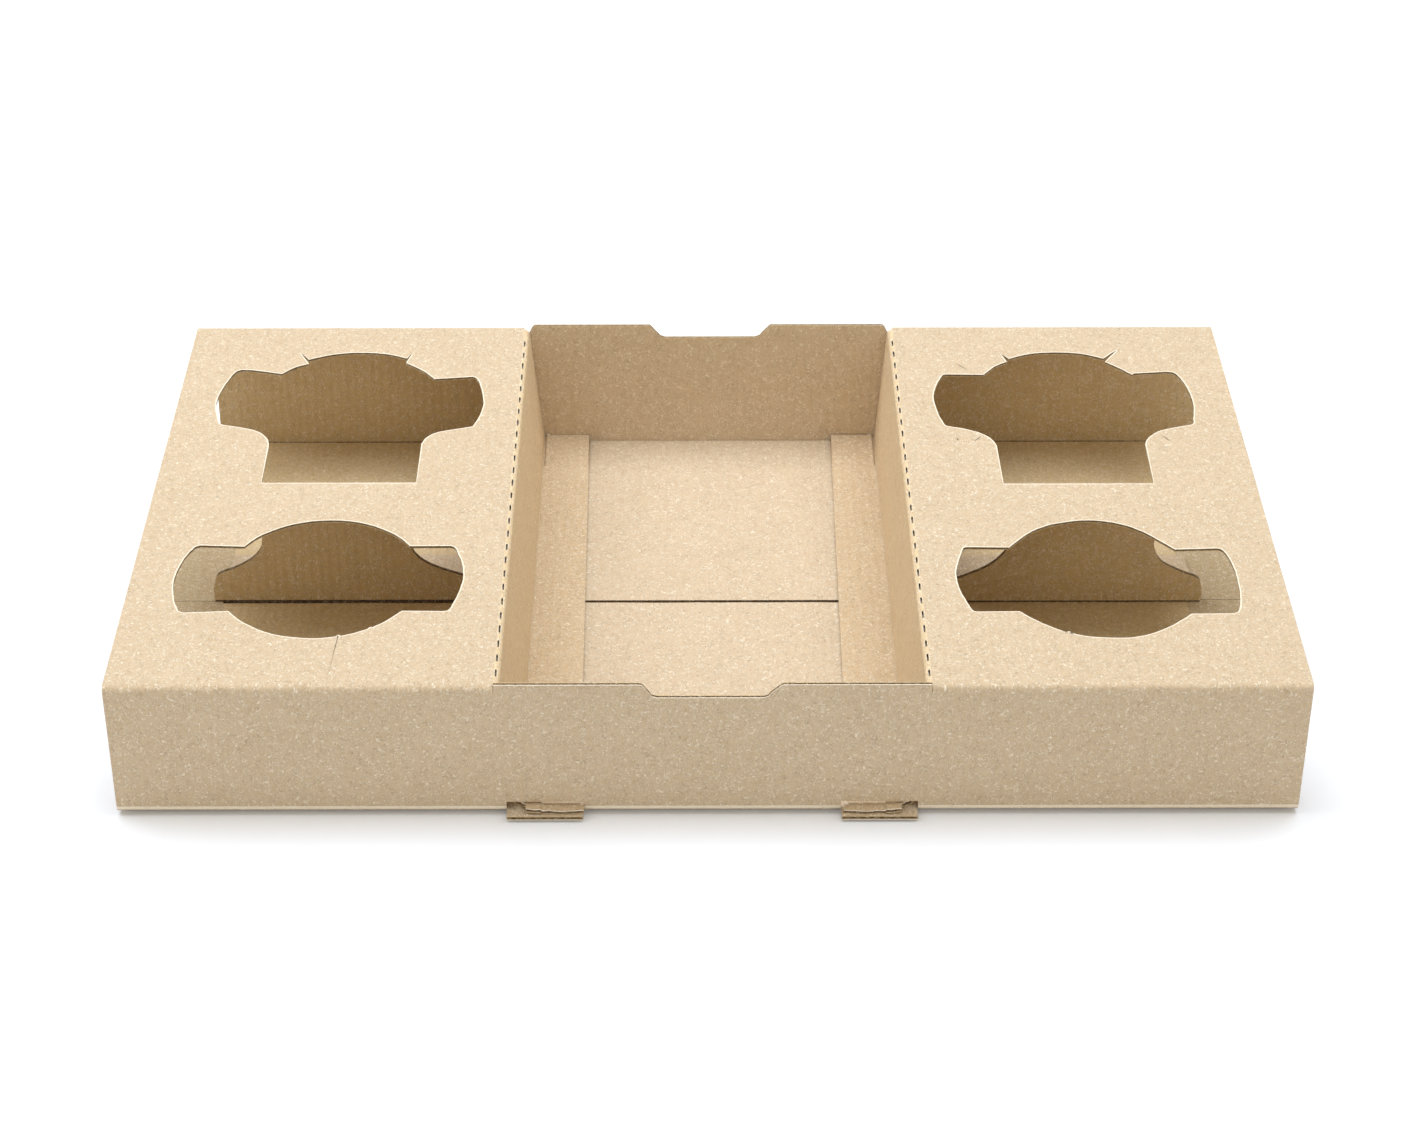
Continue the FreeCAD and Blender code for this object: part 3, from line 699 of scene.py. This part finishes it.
FINISHES = [kraft("kraft_outside", (0.618, 0.478, 0.318), 0.0, 1.25, 0.5, 1.0),
            # The inside liner: partly its own browner tone, partly darker as painted shade for the cells.
            kraft("kraft_inside_and_shade", (0.605, 0.434, 0.216), 3.7, 1.0, 0.4, 1.0),
            # The fluting paper, darkened as painted shade in the flute hollows.
            kraft("fluting_paper_and_shade", (0.25, 0.155, 0.07), 7.1, 1.0, 0.0, 0.5),
            # The cut edges: the board's own edge, darkened as painted shade in the flutes and gaps.
            kraft("cut_edge_and_shade", (0.17, 0.10, 0.048), 9.3, 1.0, 0.0, 0.6),
            # The tray floor: a paler copy of the inside, painted light for the open tray.
            kraft("kraft_tray_floor_painted_light", (0.625, 0.492, 0.340), 5.1, 1.2, 0.5, 1.0),
            # The pale rim: a painted highlight.
            kraft("pale_painted_highlight", (0.88, 0.78, 0.63), 8.2, 0.5, 0.0, 0.6),
            # The dark crease: painted shade.
            kraft("dark_painted_shade", (0.075, 0.045, 0.022), 6.4, 0.4, 0.0, 0.5),
            # The cell floor: a brighter copy of the inside, painted light through the cup holes.
            kraft("kraft_cell_floor_painted_light", (0.67, 0.505, 0.275), 4.4, 1.0, 0.4, 1.0),
            # The tray side: a brighter copy of the outside, painted light.
            kraft("kraft_tray_side_painted_light", (0.755, 0.575, 0.345), 1.9, 1.2, 0.5, 1.0),
            kraft("kraft_flange", (0.625, 0.468, 0.290), 2.8, 1.2, 0.5, 1.0),
            # The end floor: a darker copy of the inside, painted shade near the open ends.
            kraft("kraft_end_floor_painted_shade", (0.50, 0.385, 0.225), 4.4, 1.0, 0.4, 1.0)]


# The sleeve

def front_left_hole():
    """Outline of the front hole on the left, round its own middle: two arcs joined by a wing on each side."""
    return outline_of(
        [(43.3, -18.3), (45.2, -10.0), (46.3, -1.0), (45.6, 8.0), (43.9, 14.5), (42.9, 18.0)],
        [(42.9, 18.0), (42.1, 19.2), (41.0, 19.8)], [(41.0, 19.8), (27.4, 19.7)],
        [(27.4, 19.7), (21.8, 27.1), (11.6, 34.0), (-0.5, 36.4), (-12.6, 34.0), (-22.8, 27.1), (-28.0, 19.6)],
        [(-28.0, 19.6), (-42.4, 20.4)], [(-42.4, 20.4), (-43.8, 20.0), (-44.7, 18.9)],
        [(-44.7, 18.9), (-47.0, 12.5), (-48.8, 0.0), (-47.5, -12.3), (-45.6, -18.2)],
        [(-45.6, -18.2), (-44.8, -20.2), (-43.0, -21.1)], [(-43.0, -21.1), (-28.6, -20.3)],
        [(-28.6, -20.3), (-23.1, -27.0), (-12.7, -34.0), (-0.5, -36.4), (7.4, -35.4)],
        [(7.4, -35.4), (8.2, -34.4), (9.0, -35.0)], [(9.0, -35.0), (13.6, -33.2), (17.4, -30.9)],
        [(17.4, -30.9), (18.0, -29.8), (18.8, -29.9)], [(18.8, -29.9), (22.6, -26.6), (27.6, -20.2)],
        [(27.6, -20.2), (41.4, -20.4)], [(41.4, -20.4), (42.6, -19.9), (43.3, -18.3)])


def front_right_hole():
    """Outline of the front hole on the right, round its own middle."""
    return outline_of(
        [(43.6, -18.6), (44.6, -12.3), (45.1, -3.7), (45.0, 4.9), (44.0, 12.5), (42.8, 16.2)],
        [(42.8, 16.2), (41.9, 17.2), (40.4, 17.5)], [(40.4, 17.5), (26.9, 16.8)],
        [(26.9, 16.8), (21.7, 23.3), (17.4, 28.2), (10.3, 33.2), (0.0, 35.7), (-11.1, 33.6), (-18.3, 29.8),
         (-23.3, 24.9), (-28.4, 18.3)],
        [(-28.4, 18.3), (-42.4, 18.6)], [(-42.4, 18.6), (-43.6, 18.1), (-44.1, 16.9)],
        [(-44.1, 16.9), (-46.7, 6.3), (-47.3, -0.9), (-46.7, -8.0), (-45.1, -15.1), (-43.9, -19.4)],
        [(-43.9, -19.4), (-43.3, -20.8), (-42.0, -21.3)], [(-42.0, -21.3), (-28.3, -21.1)],
        [(-28.3, -21.1), (-23.3, -26.6), (-16.9, -31.9), (-14.2, -33.4)],
        [(-14.2, -33.4), (-13.4, -33.1), (-12.6, -34.2)],
        [(-12.6, -34.2), (-6.9, -36.1), (3.1, -36.9), (10.3, -35.6), (17.4, -31.8),
         (23.1, -27.0), (27.3, -22.7)],
        [(27.3, -22.7), (40.6, -22.7)], [(40.6, -22.7), (42.6, -21.6), (43.6, -18.6)])


def rear_left_hole():
    """Outline of the rear hole on the left: a slit each side of its back lip, and the partition in front."""
    front = LEFT_PARTITION_LINE - REAR_HOLE
    return outline_of(
        [(44.3, -17.6), (46.0, -10.9), (46.9, -2.3), (46.0, 6.3), (44.6, 13.4), (43.2, 16.8)],
        [(43.2, 16.8), (42.3, 17.7), (40.8, 17.7)], [(40.8, 17.7), (28.1, 16.1)],
        [(28.1, 16.1), (23.9, 22.0), (16.8, 28.5)], [(16.8, 28.5), (18.9, 36.6)],
        [(18.9, 36.6), (16.9, 31.9)],
        [(16.9, 31.9), (9.5, 35.2), (0.0, 36.4), (-9.5, 35.2), (-19.2, 31.1)],
        [(-19.2, 31.1), (-22.9, 36.7)], [(-22.9, 36.7), (-18.8, 28.0)],
        [(-18.8, 28.0), (-23.6, 25.1), (-28.0, 20.2)],
        [(-28.0, 20.2), (-34.0, 21.9), (-39.7, 23.2), (-42.6, 23.4)],
        [(-42.6, 23.4), (-44.6, 22.3), (-46.0, 19.1)],
        [(-46.0, 19.1), (-48.0, 10.6), (-49.3, 0.6), (-48.6, -6.6), (-46.9, -14.4)],
        [(-46.9, -14.4), (-46.0, -16.8), (-44.2, -17.7)],
        [(-44.2, -17.7), (-38.3, -19.4), (-32.6, -21.9), (-29.0, -25.9), (-27.4, -30.1), (-27.1, -33.7)],
        [(-27.1, -33.7), (-26.9, front)], [(-26.9, front), (26.6, front)], [(26.6, front), (26.6, -30.9)],
        [(26.6, -30.9), (28.1, -26.6), (31.7, -23.0), (37.4, -20.9), (42.9, -19.2)],
        [(42.9, -19.2), (43.9, -18.7), (44.3, -17.6)])


def rear_right_hole():
    """Outline of the rear hole on the right."""
    front = RIGHT_PARTITION_LINE - REAR_HOLE
    return outline_of(
        [(44.6, -14.4), (45.6, -8.0), (46.0, -0.9), (45.6, 6.3), (44.3, 14.1), (43.0, 18.4)],
        [(43.0, 18.4), (41.6, 20.4), (39.2, 20.9)], [(39.2, 20.9), (27.2, 19.7)],
        [(27.2, 19.7), (26.4, 18.7)],
        [(26.4, 18.7), (22.8, 23.2), (17.6, 28.6)], [(17.6, 28.6), (20.9, 34.0), (23.1, 37.8)],
        [(23.1, 37.8), (19.9, 34.2), (17.3, 31.0)],
        [(17.3, 31.0), (9.5, 34.8), (0.0, 35.9), (-9.5, 34.8), (-17.6, 31.0)],
        [(-17.6, 31.0), (-20.2, 34.9)], [(-20.2, 34.9), (-18.5, 28.8)],
        [(-18.5, 28.8), (-23.3, 25.1), (-27.9, 18.8)], [(-27.9, 18.8), (-41.6, 19.2)],
        [(-41.6, 19.2), (-42.8, 18.6), (-43.4, 17.2)],
        [(-43.4, 17.2), (-45.3, 12.0), (-46.9, 4.9), (-47.1, -2.3), (-46.1, -10.9), (-44.6, -17.6)],
        [(-44.6, -17.6), (-44.0, -18.8), (-42.8, -19.3)],
        [(-42.8, -19.3), (-36.9, -21.3), (-31.9, -24.4), (-28.6, -28.3), (-27.1, -33.0)],
        [(-27.1, -33.0), (-26.9, front)], [(-26.9, front), (25.0, front)], [(25.0, front), (25.3, -32.3)],
        [(25.3, -32.3), (26.4, -28.7), (29.6, -24.4), (33.6, -21.7), (43.2, -18.3)],
        [(43.2, -18.3), (44.3, -17.4), (44.6, -14.4)])


def crease_marks():
    """Outlines of the small creases beside the rear hole on the right, round its middle, which are painted
    near-black as their shade.
    """
    return [sliver(points) for points in (
        [(-38.3, 28.4), (-35.4, 25.3), (-32.6, 21.3)], [(-40.8, -27.0), (-40.4, -28.6), (-39.6, -29.6)],
        [(-34.9, -30.1), (-33.6, -28.0), (-31.8, -25.7)], [(31.5, -25.6), (33.4, -28.0), (34.9, -30.9)])]


def tray_mouth():
    """Outline of what is cut from the middle of the sheet: the tray's mouth, with a notch in each wall."""
    front_end = -BACK_TOP_LINE - 2.4
    front_floor = WALL_EDGE_FRONT - NOTCH_DEPTH
    back_floor = WALL_EDGE_BACK + NOTCH_DEPTH
    return [(-MOUTH_HALF, front_end), (-FRONT_WALL_HALF, front_end),
            (-FRONT_WALL_HALF, WALL_EDGE_FRONT), (-22.9, WALL_EDGE_FRONT), (-22.0, WALL_EDGE_FRONT - 0.4),
            (-19.9, front_floor + 1.7), (-19.2, front_floor + 0.6), (-17.6, front_floor),
            (16.0, front_floor), (17.6, front_floor + 0.6), (18.3, front_floor + 1.7),
            (21.5, WALL_EDGE_FRONT - 0.4), (22.5, WALL_EDGE_FRONT), (FRONT_WALL_HALF, WALL_EDGE_FRONT),
            (FRONT_WALL_HALF, front_end), (MOUTH_HALF, front_end),
            (MOUTH_HALF, BACK_TOP_LINE + 2.5), (MOUTH_HALF - 0.7, BACK_TOP_LINE + 5.0),
            (BACK_WALL_HALF, WALL_EDGE_BACK + 0.9), (BACK_WALL_HALF - 0.9, WALL_EDGE_BACK),
            (23.1, WALL_EDGE_BACK), (20.2, back_floor - 2.0),
            (19.2, back_floor - 0.7), (17.4, back_floor), (-16.4, back_floor), (-18.1, back_floor - 0.7),
            (-19.2, back_floor - 2.0), (-21.9, WALL_EDGE_BACK), (0.9 - BACK_WALL_HALF, WALL_EDGE_BACK),
            (-BACK_WALL_HALF, WALL_EDGE_BACK + 0.9), (0.7 - MOUTH_HALF, BACK_TOP_LINE + 5.0),
            (-MOUTH_HALF, BACK_TOP_LINE + 2.5)]


def tongue_slit(side, way, wall_foot, rise, inner, outer):
    """Outline of the slit round a floor tongue, where it is cut out of the foot of a wall."""
    far = wall_foot - rise
    near = wall_foot + SLIT_PAST_FOOT
    corners = [(inner - SLIT, far), (outer + SLIT, far), (outer + SLIT, near), (outer, near),
               (outer, far + SLIT), (inner, far + SLIT), (inner, near), (inner - SLIT, near)]
    return [(x * side, y * way) for x, y in corners]


def seam_gap():
    """Outline of what is cut from the end of the front floor panel, so that the seam stands open a little."""
    chance = random.Random(5)
    edge = [(-172 + 8 * number, -FRONT_SEAM + 0.05 + chance.uniform(-0.12, 0.12)) for number in range(44)]
    return edge + [(172, -FRONT_SEAM - 3), (-172, -FRONT_SEAM - 3)]


def wall_end():
    """Outline of what is cut from the left end of the back wall, which stops short of the top panel's."""
    past = LEFT_END - MARGIN
    return [(past, BACK_TOP_LINE + 4), (LEFT_END + 3.6, BACK_TOP_LINE + 4),
            (LEFT_END + 5.3, BACK_TOP_LINE + 6), (LEFT_END + 5.3, BACK_FOOT_LINE - 1),
            (past, BACK_FOOT_LINE - 1)]


def floor_end():
    """Outline of what is cut from the right end of the front floor panel, near the seam."""
    past, end = RIGHT_END + MARGIN, RIGHT_END - 0.9
    return [(past, -FRONT_SEAM - 2), (past, -FRONT_SEAM + 70),
            (end, -FRONT_SEAM + 60), (end, -FRONT_SEAM - 2)]


def box(low_x, high_x, low_y, high_y):
    """Outline of a rectangle."""
    return [(low_x, low_y), (high_x, low_y), (high_x, high_y), (low_x, high_y)]


def foot_creases():
    """Dies for the crease inside the foot of the back wall: one in the tray, and one in each cell."""
    half, line, width = TRAY_CREASE
    start, end, cell_line, cell_width = CELL_CREASE
    creases = []
    for low, high, middle, spread in ((-end, -start, cell_line, cell_width), (-half, half, line, width),
                                      (start, end, cell_line, cell_width)):
        near = BACK_FOOT_LINE + middle - spread / 2
        creases.append(die("crease", box(low, high, near, near + spread), TOP - DIE_REACH,
                           TOP - CREASE_HEIGHT))
    return creases


def lift_front(piece, chosen):
    """Raises the foot of the front a little off the table, and leaves its top where it is."""
    choose(piece, chosen)
    bpy.ops.transform.resize(value=(1, 1, 1 - FRONT_LIFT / TOP), center_override=(0, 0, TOP))
    bpy.ops.object.mode_set(mode="OBJECT")


def cut_sleeve(sleeve):
    """Cuts and creases the flat sleeve."""
    outlines = ((front_left_hole(), -HOLE_OFFSET, FRONT_HOLE), (front_right_hole(), HOLE_OFFSET, FRONT_HOLE),
                (rear_left_hole(), -HOLE_OFFSET, REAR_HOLE), (rear_right_hole(), HOLE_OFFSET, REAR_HOLE))
    holes = [shifted(ragged(hole, number), across, back)
             for number, (hole, across, back) in enumerate(outlines)]
    dies = [die("mouth", tray_mouth()), die("seam", seam_gap()), die("wall_end", wall_end()),
            die("floor_end", floor_end())]
    dies += [die("hole", hole) for hole in holes]
    for side in (-1, 1):
        front_slit = tongue_slit(side, -1, FRONT_FOOT_LINE, FRONT_SLOT_RISE, TONGUE_INNER, TONGUE_OUTER)
        rear_slit = tongue_slit(side, 1, BACK_FOOT_LINE, BACK_SLOT_RISE, *BACK_SLOTS[side])
        dies += [die("front_slit", front_slit), die("rear_slit", rear_slit)]
    creases = foot_creases()
    stamp(sleeve, dies)
    stamp(sleeve, creases)
    # Shallow dips round the holes, which carry the painted highlight on their rims.
    stamp(sleeve, [die("rim", grown(hole, RIM_WIDTH), TOP - RIM_DIP) for hole in holes])
    # A shallow dip along the foot of the front, which carries a painted highlight on the fold.
    foot_highlight = box(LEFT_END - MARGIN, RIGHT_END + MARGIN, -FRONT_FOOT_LINE - 0.1, -FRONT_FOOT_LINE + FOOT_HIGHLIGHT_WIDTH)
    stamp(sleeve, [die("foot_highlight", foot_highlight, TOP - RIM_DIP)])
    # The small creases are dipped a little and painted near-black as their shade.
    marks = [shifted(mark, HOLE_OFFSET, REAR_HOLE) for mark in crease_marks()]
    stamp(sleeve, [die("mark", mark, TOP - MARK_DIP) for mark in marks])


def make_sleeve():
    """The sleeve: cup panels, front and back walls, and the floor, folded round from one flat board."""
    rows = (rows_between(-FRONT_SEAM - SEAM_SPARE, -FRONT_FOOT_LINE - BEND, FLOOR_ROW)
            + bend_rows(-FRONT_FOOT_LINE - BEND)
            + rows_between(-FRONT_FOOT_LINE, -FRONT_TOP_LINE - BEND, WALL_ROW)
            + bend_rows(-FRONT_TOP_LINE - BEND)
            + rows_between(-FRONT_TOP_LINE, BACK_TOP_LINE, FLOOR_ROW) + bend_rows(BACK_TOP_LINE)
            + rows_between(BACK_TOP_LINE + BEND, BACK_FOOT_LINE, WALL_ROW) + bend_rows(BACK_FOOT_LINE)
            + rows_between(BACK_FOOT_LINE + BEND, BACK_SEAM, FLOOR_ROW) + [BACK_SEAM])
    sleeve = board("sleeve", LEFT_END, RIGHT_END, rows, SLEEVE_FLUTES * COLUMNS_A_FLUTE, SLEEVE_LINER_COLUMNS)
    cut_sleeve(sleeve)
    finish_sleeve(sleeve)
    crush_rims(sleeve)
    flat = places_of(sleeve)
    across, back = np.abs(flat[:, 0]), flat[:, 1]
    inner = np.where(flat[:, 0] < 0, BACK_SLOTS[-1][0], BACK_SLOTS[1][0])
    front_width = (across > TONGUE_INNER - 0.05) & (across < TONGUE_OUTER + 0.05)
    rear_width = (across > inner - 0.05) & (across < BACK_SLOTS[1][1] + 0.05)
    past_foot = -FRONT_FOOT_LINE - back
    past_rear_foot = back - BACK_FOOT_LINE
    front_tongues = front_width & (past_foot < BEND + 0.1) & (past_foot > 0.06 - FRONT_SLOT_RISE)
    rear_tongues = rear_width & (past_rear_foot < BEND + 0.1) & (past_rear_foot > 0.06 - BACK_SLOT_RISE)
    fold(sleeve, flat, 1, -1, FRONT_FOOT_LINE, 90 - FRONT_LEAN, also=front_tongues)
    fold(sleeve, flat, 1, 1, BACK_FOOT_LINE, 90, also=rear_tongues)
    in_mouth = across < (FRONT_WALL_HALF + MOUTH_HALF) / 2
    fold(sleeve, flat, 1, -1, FRONT_TOP_LINE, 90 + FRONT_LEAN, also=in_mouth & (back < -100))
    fold(sleeve, flat, 1, 1, BACK_TOP_LINE, 90, also=in_mouth & (back > 100))
    front_tips = front_tongues & (past_foot < 0.3 - FRONT_SLOT_RISE)
    rear_tips = rear_tongues & (past_rear_foot < 0.3 - BACK_SLOT_RISE)
    move(sleeve, front_tips, (0, FRONT_SLOT_RISE - TONGUE_REACH, 0))
    move(sleeve, rear_tips, (0, BACK_TONGUE_REACH - BACK_SLOT_RISE, 0))
    lift_front(sleeve, (places_of(sleeve)[:, 1] < -100) & ~front_tongues)
    return sleeve


def make_partition(name, side, line, left_edge, right_edge):
    """A partition hinged on a line of the cup panel; its edges are given as places across and heights."""
    straight_end = line + BEND + PARTITION_HEIGHT
    foot_end = straight_end + BEND + PARTITION_FOOT
    rows = (bend_rows(line) + rows_between(line + BEND, straight_end, WALL_ROW) + bend_rows(straight_end)
            + rows_between(straight_end + BEND, foot_end, WALL_ROW) + [foot_end])
    middle = side * HOLE_OFFSET
    half = FLUTE_PITCH * PARTITION_FLUTES / 2
    piece = board(name, middle - half, middle + half, rows, PARTITION_FLUTES * COLUMNS_A_FLUTE,
                  PARTITION_LINER_COLUMNS)
    hang = line + BEND + TOP - OUTER_BEND
    right = [(x, hang - height) for x, height in right_edge]
    left = [(x, hang - height) for x, height in left_edge]
    foot_right, foot_left = (PARTITION_FOOT_HALF, foot_end + 1), (-PARTITION_FOOT_HALF, foot_end + 1)
    top_right, top_left = (right[0][0], 0), (left[0][0], 0)
    corners = outline_of([top_right, right[0]], right, [right[-1], foot_right], [foot_right, foot_left],
                         [foot_left, left[-1]], left[::-1], [left[0], top_left], [top_left, top_right])
    stamp(piece, [die("partition", shifted(ragged(corners, side + 20, 0.04), middle, 0))], keep_inside=True)
    finish_partition(piece, straight_end)
    flat = places_of(piece)
    fold(piece, flat, 1, 1, straight_end, 90, upwards=True)
    fold(piece, flat, 1, 1, line, 90)
    liner = flat[:, 2] < TOP - BOARD + LINER * 1.2
    for number, push in CORNER_PUSHES:
        move(piece, liner & (np.abs(flat[:, 1] - straight_end - number * ROW_STEP) < 0.05), push)
    return piece


def tray_side_outline(front_in, back_in):
    """Outline of a flat tray side on the right; the two values set how far in its flange's edge is."""
    edge = SIDE_FOOT_LINE - SIDE_BEND - FLANGE
    return [(MOUTH_HALF + 1, -118.62), (SIDE_FOOT_LINE - SIDE_BEND, -116.3), (edge + 18.0, -116.3),
            (edge + 16.3, -118.6), (edge + 16.1, -120.9), (edge + 12.6, -121.5), (edge + 8.8, -121.1),
            (edge + 5.2, -121.6), (edge + 1.0, -121.3), (edge - 2.4, -121.0), (edge - 2.8, -118.9),
            (edge + front_in, -117.6), (edge + back_in, 117.2), (edge + back_in, 123.7),
            (edge + 16.6, 123.7), (edge + 16.8, 118.6),
            (MOUTH_HALF - 6, 118.6), (MOUTH_HALF - 2.2, 118.1), (MOUTH_HALF + 1, 117.4)]


def mirrored(points, side):
    """The same points, on the left of the tray when side is -1."""
    return [(x * side, y) for x, y in points]


def perforate(piece, side):
    """Cuts the perforations of the upper fold, and scores the lower one here and there."""
    chance = random.Random(30 + side)
    score_line = SIDE_FOOT_LINE - SIDE_BEND / 2
    cuts, rims = [], []
    for number in range(CUTS):
        start = FIRST_CUT + CUT_PITCH * number + chance.uniform(-0.25, 0.25)
        length = CUT_LENGTH + chance.uniform(-0.4, 0.3)
        dash = slot(MOUTH_HALF - CUT_EDGES[0], MOUTH_HALF - CUT_EDGES[1], start, start + length)
        cuts.append(die("cut", mirrored(dash, side), TOP - CUT_DEPTH))
        # A shallow rim round each cut, which carries a painted highlight.
        rims.append(die("rim", mirrored(grown(dash, CUT_RIM), side), TOP - RIM_DIP))
    for number in range(SCORES):
        start = FIRST_SCORE + SCORE_PITCH * number + chance.uniform(-0.7, 0.7)
        dash = slot(score_line, score_line + SCORE_WIDTH, start, start + chance.uniform(1.2, 3.4))
        cuts.append(die("score", mirrored(dash, side), TOP - SCORE_DEPTH))
    stamp(piece, cuts)
    stamp(piece, rims)


def make_tray_side(name, side, angle, front_in, back_in):
    """A side of the tray, hinged on the cup panel, with a flange on the floor and a tab at each end of it."""
    rows = rows_between(-123, 125, FLOOR_ROW) + [125]
    low, high = sorted((side * (MOUTH_HALF - SIDE_COLUMNS * SIDE_STEP), side * MOUTH_HALF))
    piece = board(name, low, high, rows, SIDE_COLUMNS, SIDE_COLUMNS)
    stamp(piece, [die("tray_side", mirrored(tray_side_outline(front_in, back_in), side))], keep_inside=True)
    perforate(piece, side)
    finish_tray_side(piece)
    flat = places_of(piece)
    fold(piece, flat, 0, -side, -SIDE_FOOT_LINE, angle, step=SIDE_STEP, upwards=True)
    fold(piece, flat, 0, -side, -MOUTH_HALF, angle, step=SIDE_STEP)
    across = flat[:, 0] * side
    flange_end = SIDE_FOOT_LINE - SIDE_BEND
    flange = across < flange_end - 0.5
    move(piece, flange & (flat[:, 1] > 110), (0, 0, FLANGE_RISE_BACK))
    outer_part = across > flange_end - FLANGE + 11
    move(piece, flange & (flat[:, 1] < -117.8) & outer_part, (0, 0, FLANGE_RISE_FRONT))
    return piece


LEFT_PARTITION_EDGES = (
    [(-26.9, 40.0), (-27.3, 34.0), (-28.2, 28.4), (-29.2, 23.4), (-32.6, 19.1), (-38.3, 15.6), (-43.2, 13.7),
     (-45.2, 12.0), (-46.4, 8.5), (-46.8, 5.5), (-46.6, 3.6)],
    [(26.6, 40.0), (25.6, 34.0), (24.2, 28.0), (23.7, 24.0), (25.3, 20.6), (28.9, 17.3), (34.6, 14.6),
     (38.9, 13.0), (42.5, 11.6), (44.0, 9.5), (44.6, 6.0), (44.4, 3.6)])
RIGHT_PARTITION_EDGES = (
    [(-26.9, 40.0), (-26.2, 34.0), (-24.8, 28.0), (-24.5, 23.6), (-26.9, 19.9), (-31.1, 16.2), (-36.9, 13.2),
     (-40.9, 11.5), (-44.5, 10.2), (-45.8, 7.5), (-46.2, 5.0), (-46.0, 3.6)],
    [(25.0, 40.0), (25.9, 34.0), (26.9, 28.0), (27.4, 23.4), (30.3, 18.1), (37.4, 14.1), (42.6, 11.9),
     (44.3, 10.2), (45.2, 6.5), (45.3, 4.9), (45.0, 3.6)])

finished(make_sleeve(), replaces=True)
finished(make_partition("left_partition", -1, LEFT_PARTITION_LINE, *LEFT_PARTITION_EDGES))
finished(make_partition("right_partition", 1, RIGHT_PARTITION_LINE, *RIGHT_PARTITION_EDGES))
finished(make_tray_side("left_tray_side", -1, 84.3, -1.1, 1.7))
finished(make_tray_side("right_tray_side", 1, 85.42, -0.65, 2.2))


# Camera, table and light

def add_camera():
    """The camera stands before the carrier and looks down on it."""
    down = math.radians(CAMERA_DOWN)
    level = math.cos(down)
    ahead = np.array((math.sin(CAMERA_YAW) * level, math.cos(CAMERA_YAW) * level, -math.sin(down)))
    right = np.array((math.cos(CAMERA_YAW), -math.sin(CAMERA_YAW), 0))
    above = np.cross(right, ahead)
    roll = (math.cos(CAMERA_ROLL), math.sin(CAMERA_ROLL))
    right, above = right * roll[0] + above * roll[1], -right * roll[1] + above * roll[0]
    data = bpy.data.cameras.new("camera")
    data.lens = CAMERA_LENS
    data.sensor_width = 36
    data.clip_start = 0.05
    data.clip_end = 50
    camera = bpy.data.objects.new("camera", data)
    bpy.context.scene.collection.objects.link(camera)
    axes = zip(right, above, -ahead)
    camera.matrix_world = Matrix([(*axis, place / 1000) for axis, place in zip(axes, CAMERA_PLACE)]
                                 + [(0, 0, 0, 1)])
    bpy.context.scene.camera = camera


def add_floor():
    """A white table that keeps the carrier's shadow, a little lower than its floor panels."""
    bpy.ops.object.select_all(action="DESELECT")
    bpy.ops.mesh.primitive_plane_add(size=8, location=(0, 0, -TABLE_GAP / 1000))
    floor = bpy.context.object
    floor.name = "floor"
    material = bpy.data.materials.new("white_table")
    material.use_nodes = True
    tree = material.node_tree
    shader = tree.nodes["Principled BSDF"]
    shader.inputs["Base Color"].default_value = (0.83, 0.85, 0.90, 1)
    shader.inputs["Roughness"].default_value = 0.9
    shader.inputs["Emission Color"].default_value = (1, 1, 1, 1)
    path = tree.nodes.new("ShaderNodeLightPath")
    seen = calculated(tree, "MAXIMUM", path.outputs["Is Camera Ray"], path.outputs["Is Glossy Ray"])
    link(tree, (calculated(tree, "MULTIPLY", seen, TABLE_GLOW), shader.inputs["Emission Strength"]))
    floor.data.materials.append(material)


def add_light():
    """Soft light from above, and a plain white room that is brighter in front than behind."""
    world = bpy.data.worlds.new("room")
    bpy.context.scene.world = world
    world.use_nodes = True
    tree = world.node_tree
    back = tree.nodes["Background"]
    back.inputs["Color"].default_value = (1.0, 0.95, 0.82, 1)
    path = tree.nodes.new("ShaderNodeLightPath")
    way = tree.nodes.new("ShaderNodeTexCoord")
    split = tree.nodes.new("ShaderNodeSeparateXYZ")
    room = add_node(tree, "ShaderNodeMapRange", From_Min=-1.0, From_Max=0.2,
                    To_Min=FRONT_LIGHT, To_Max=BACK_LIGHT)
    level = add_node(tree, "ShaderNodeMapRange", To_Max=1.0)
    link(tree, (way.outputs["Generated"], split.inputs[0]), (split.outputs["Y"], room.inputs["Value"]),
         (room.outputs["Result"], level.inputs["To Min"]),
         (path.outputs["Is Camera Ray"], level.inputs["Value"]),
         (level.outputs["Result"], back.inputs["Strength"]))
    data = bpy.data.lights.new("overhead", "AREA")
    data.shape = "RECTANGLE"
    data.size = 3.0
    data.size_y = 1.2
    data.energy = 42
    data.color = (0.87, 0.92, 1.0)
    lamp = bpy.data.objects.new("overhead", data)
    bpy.context.scene.collection.objects.link(lamp)
    lamp.location = (-0.32, 0.28, 1.5)


add_camera()
add_floor()
add_light()
bpy.context.scene.view_settings.view_transform = "Standard"
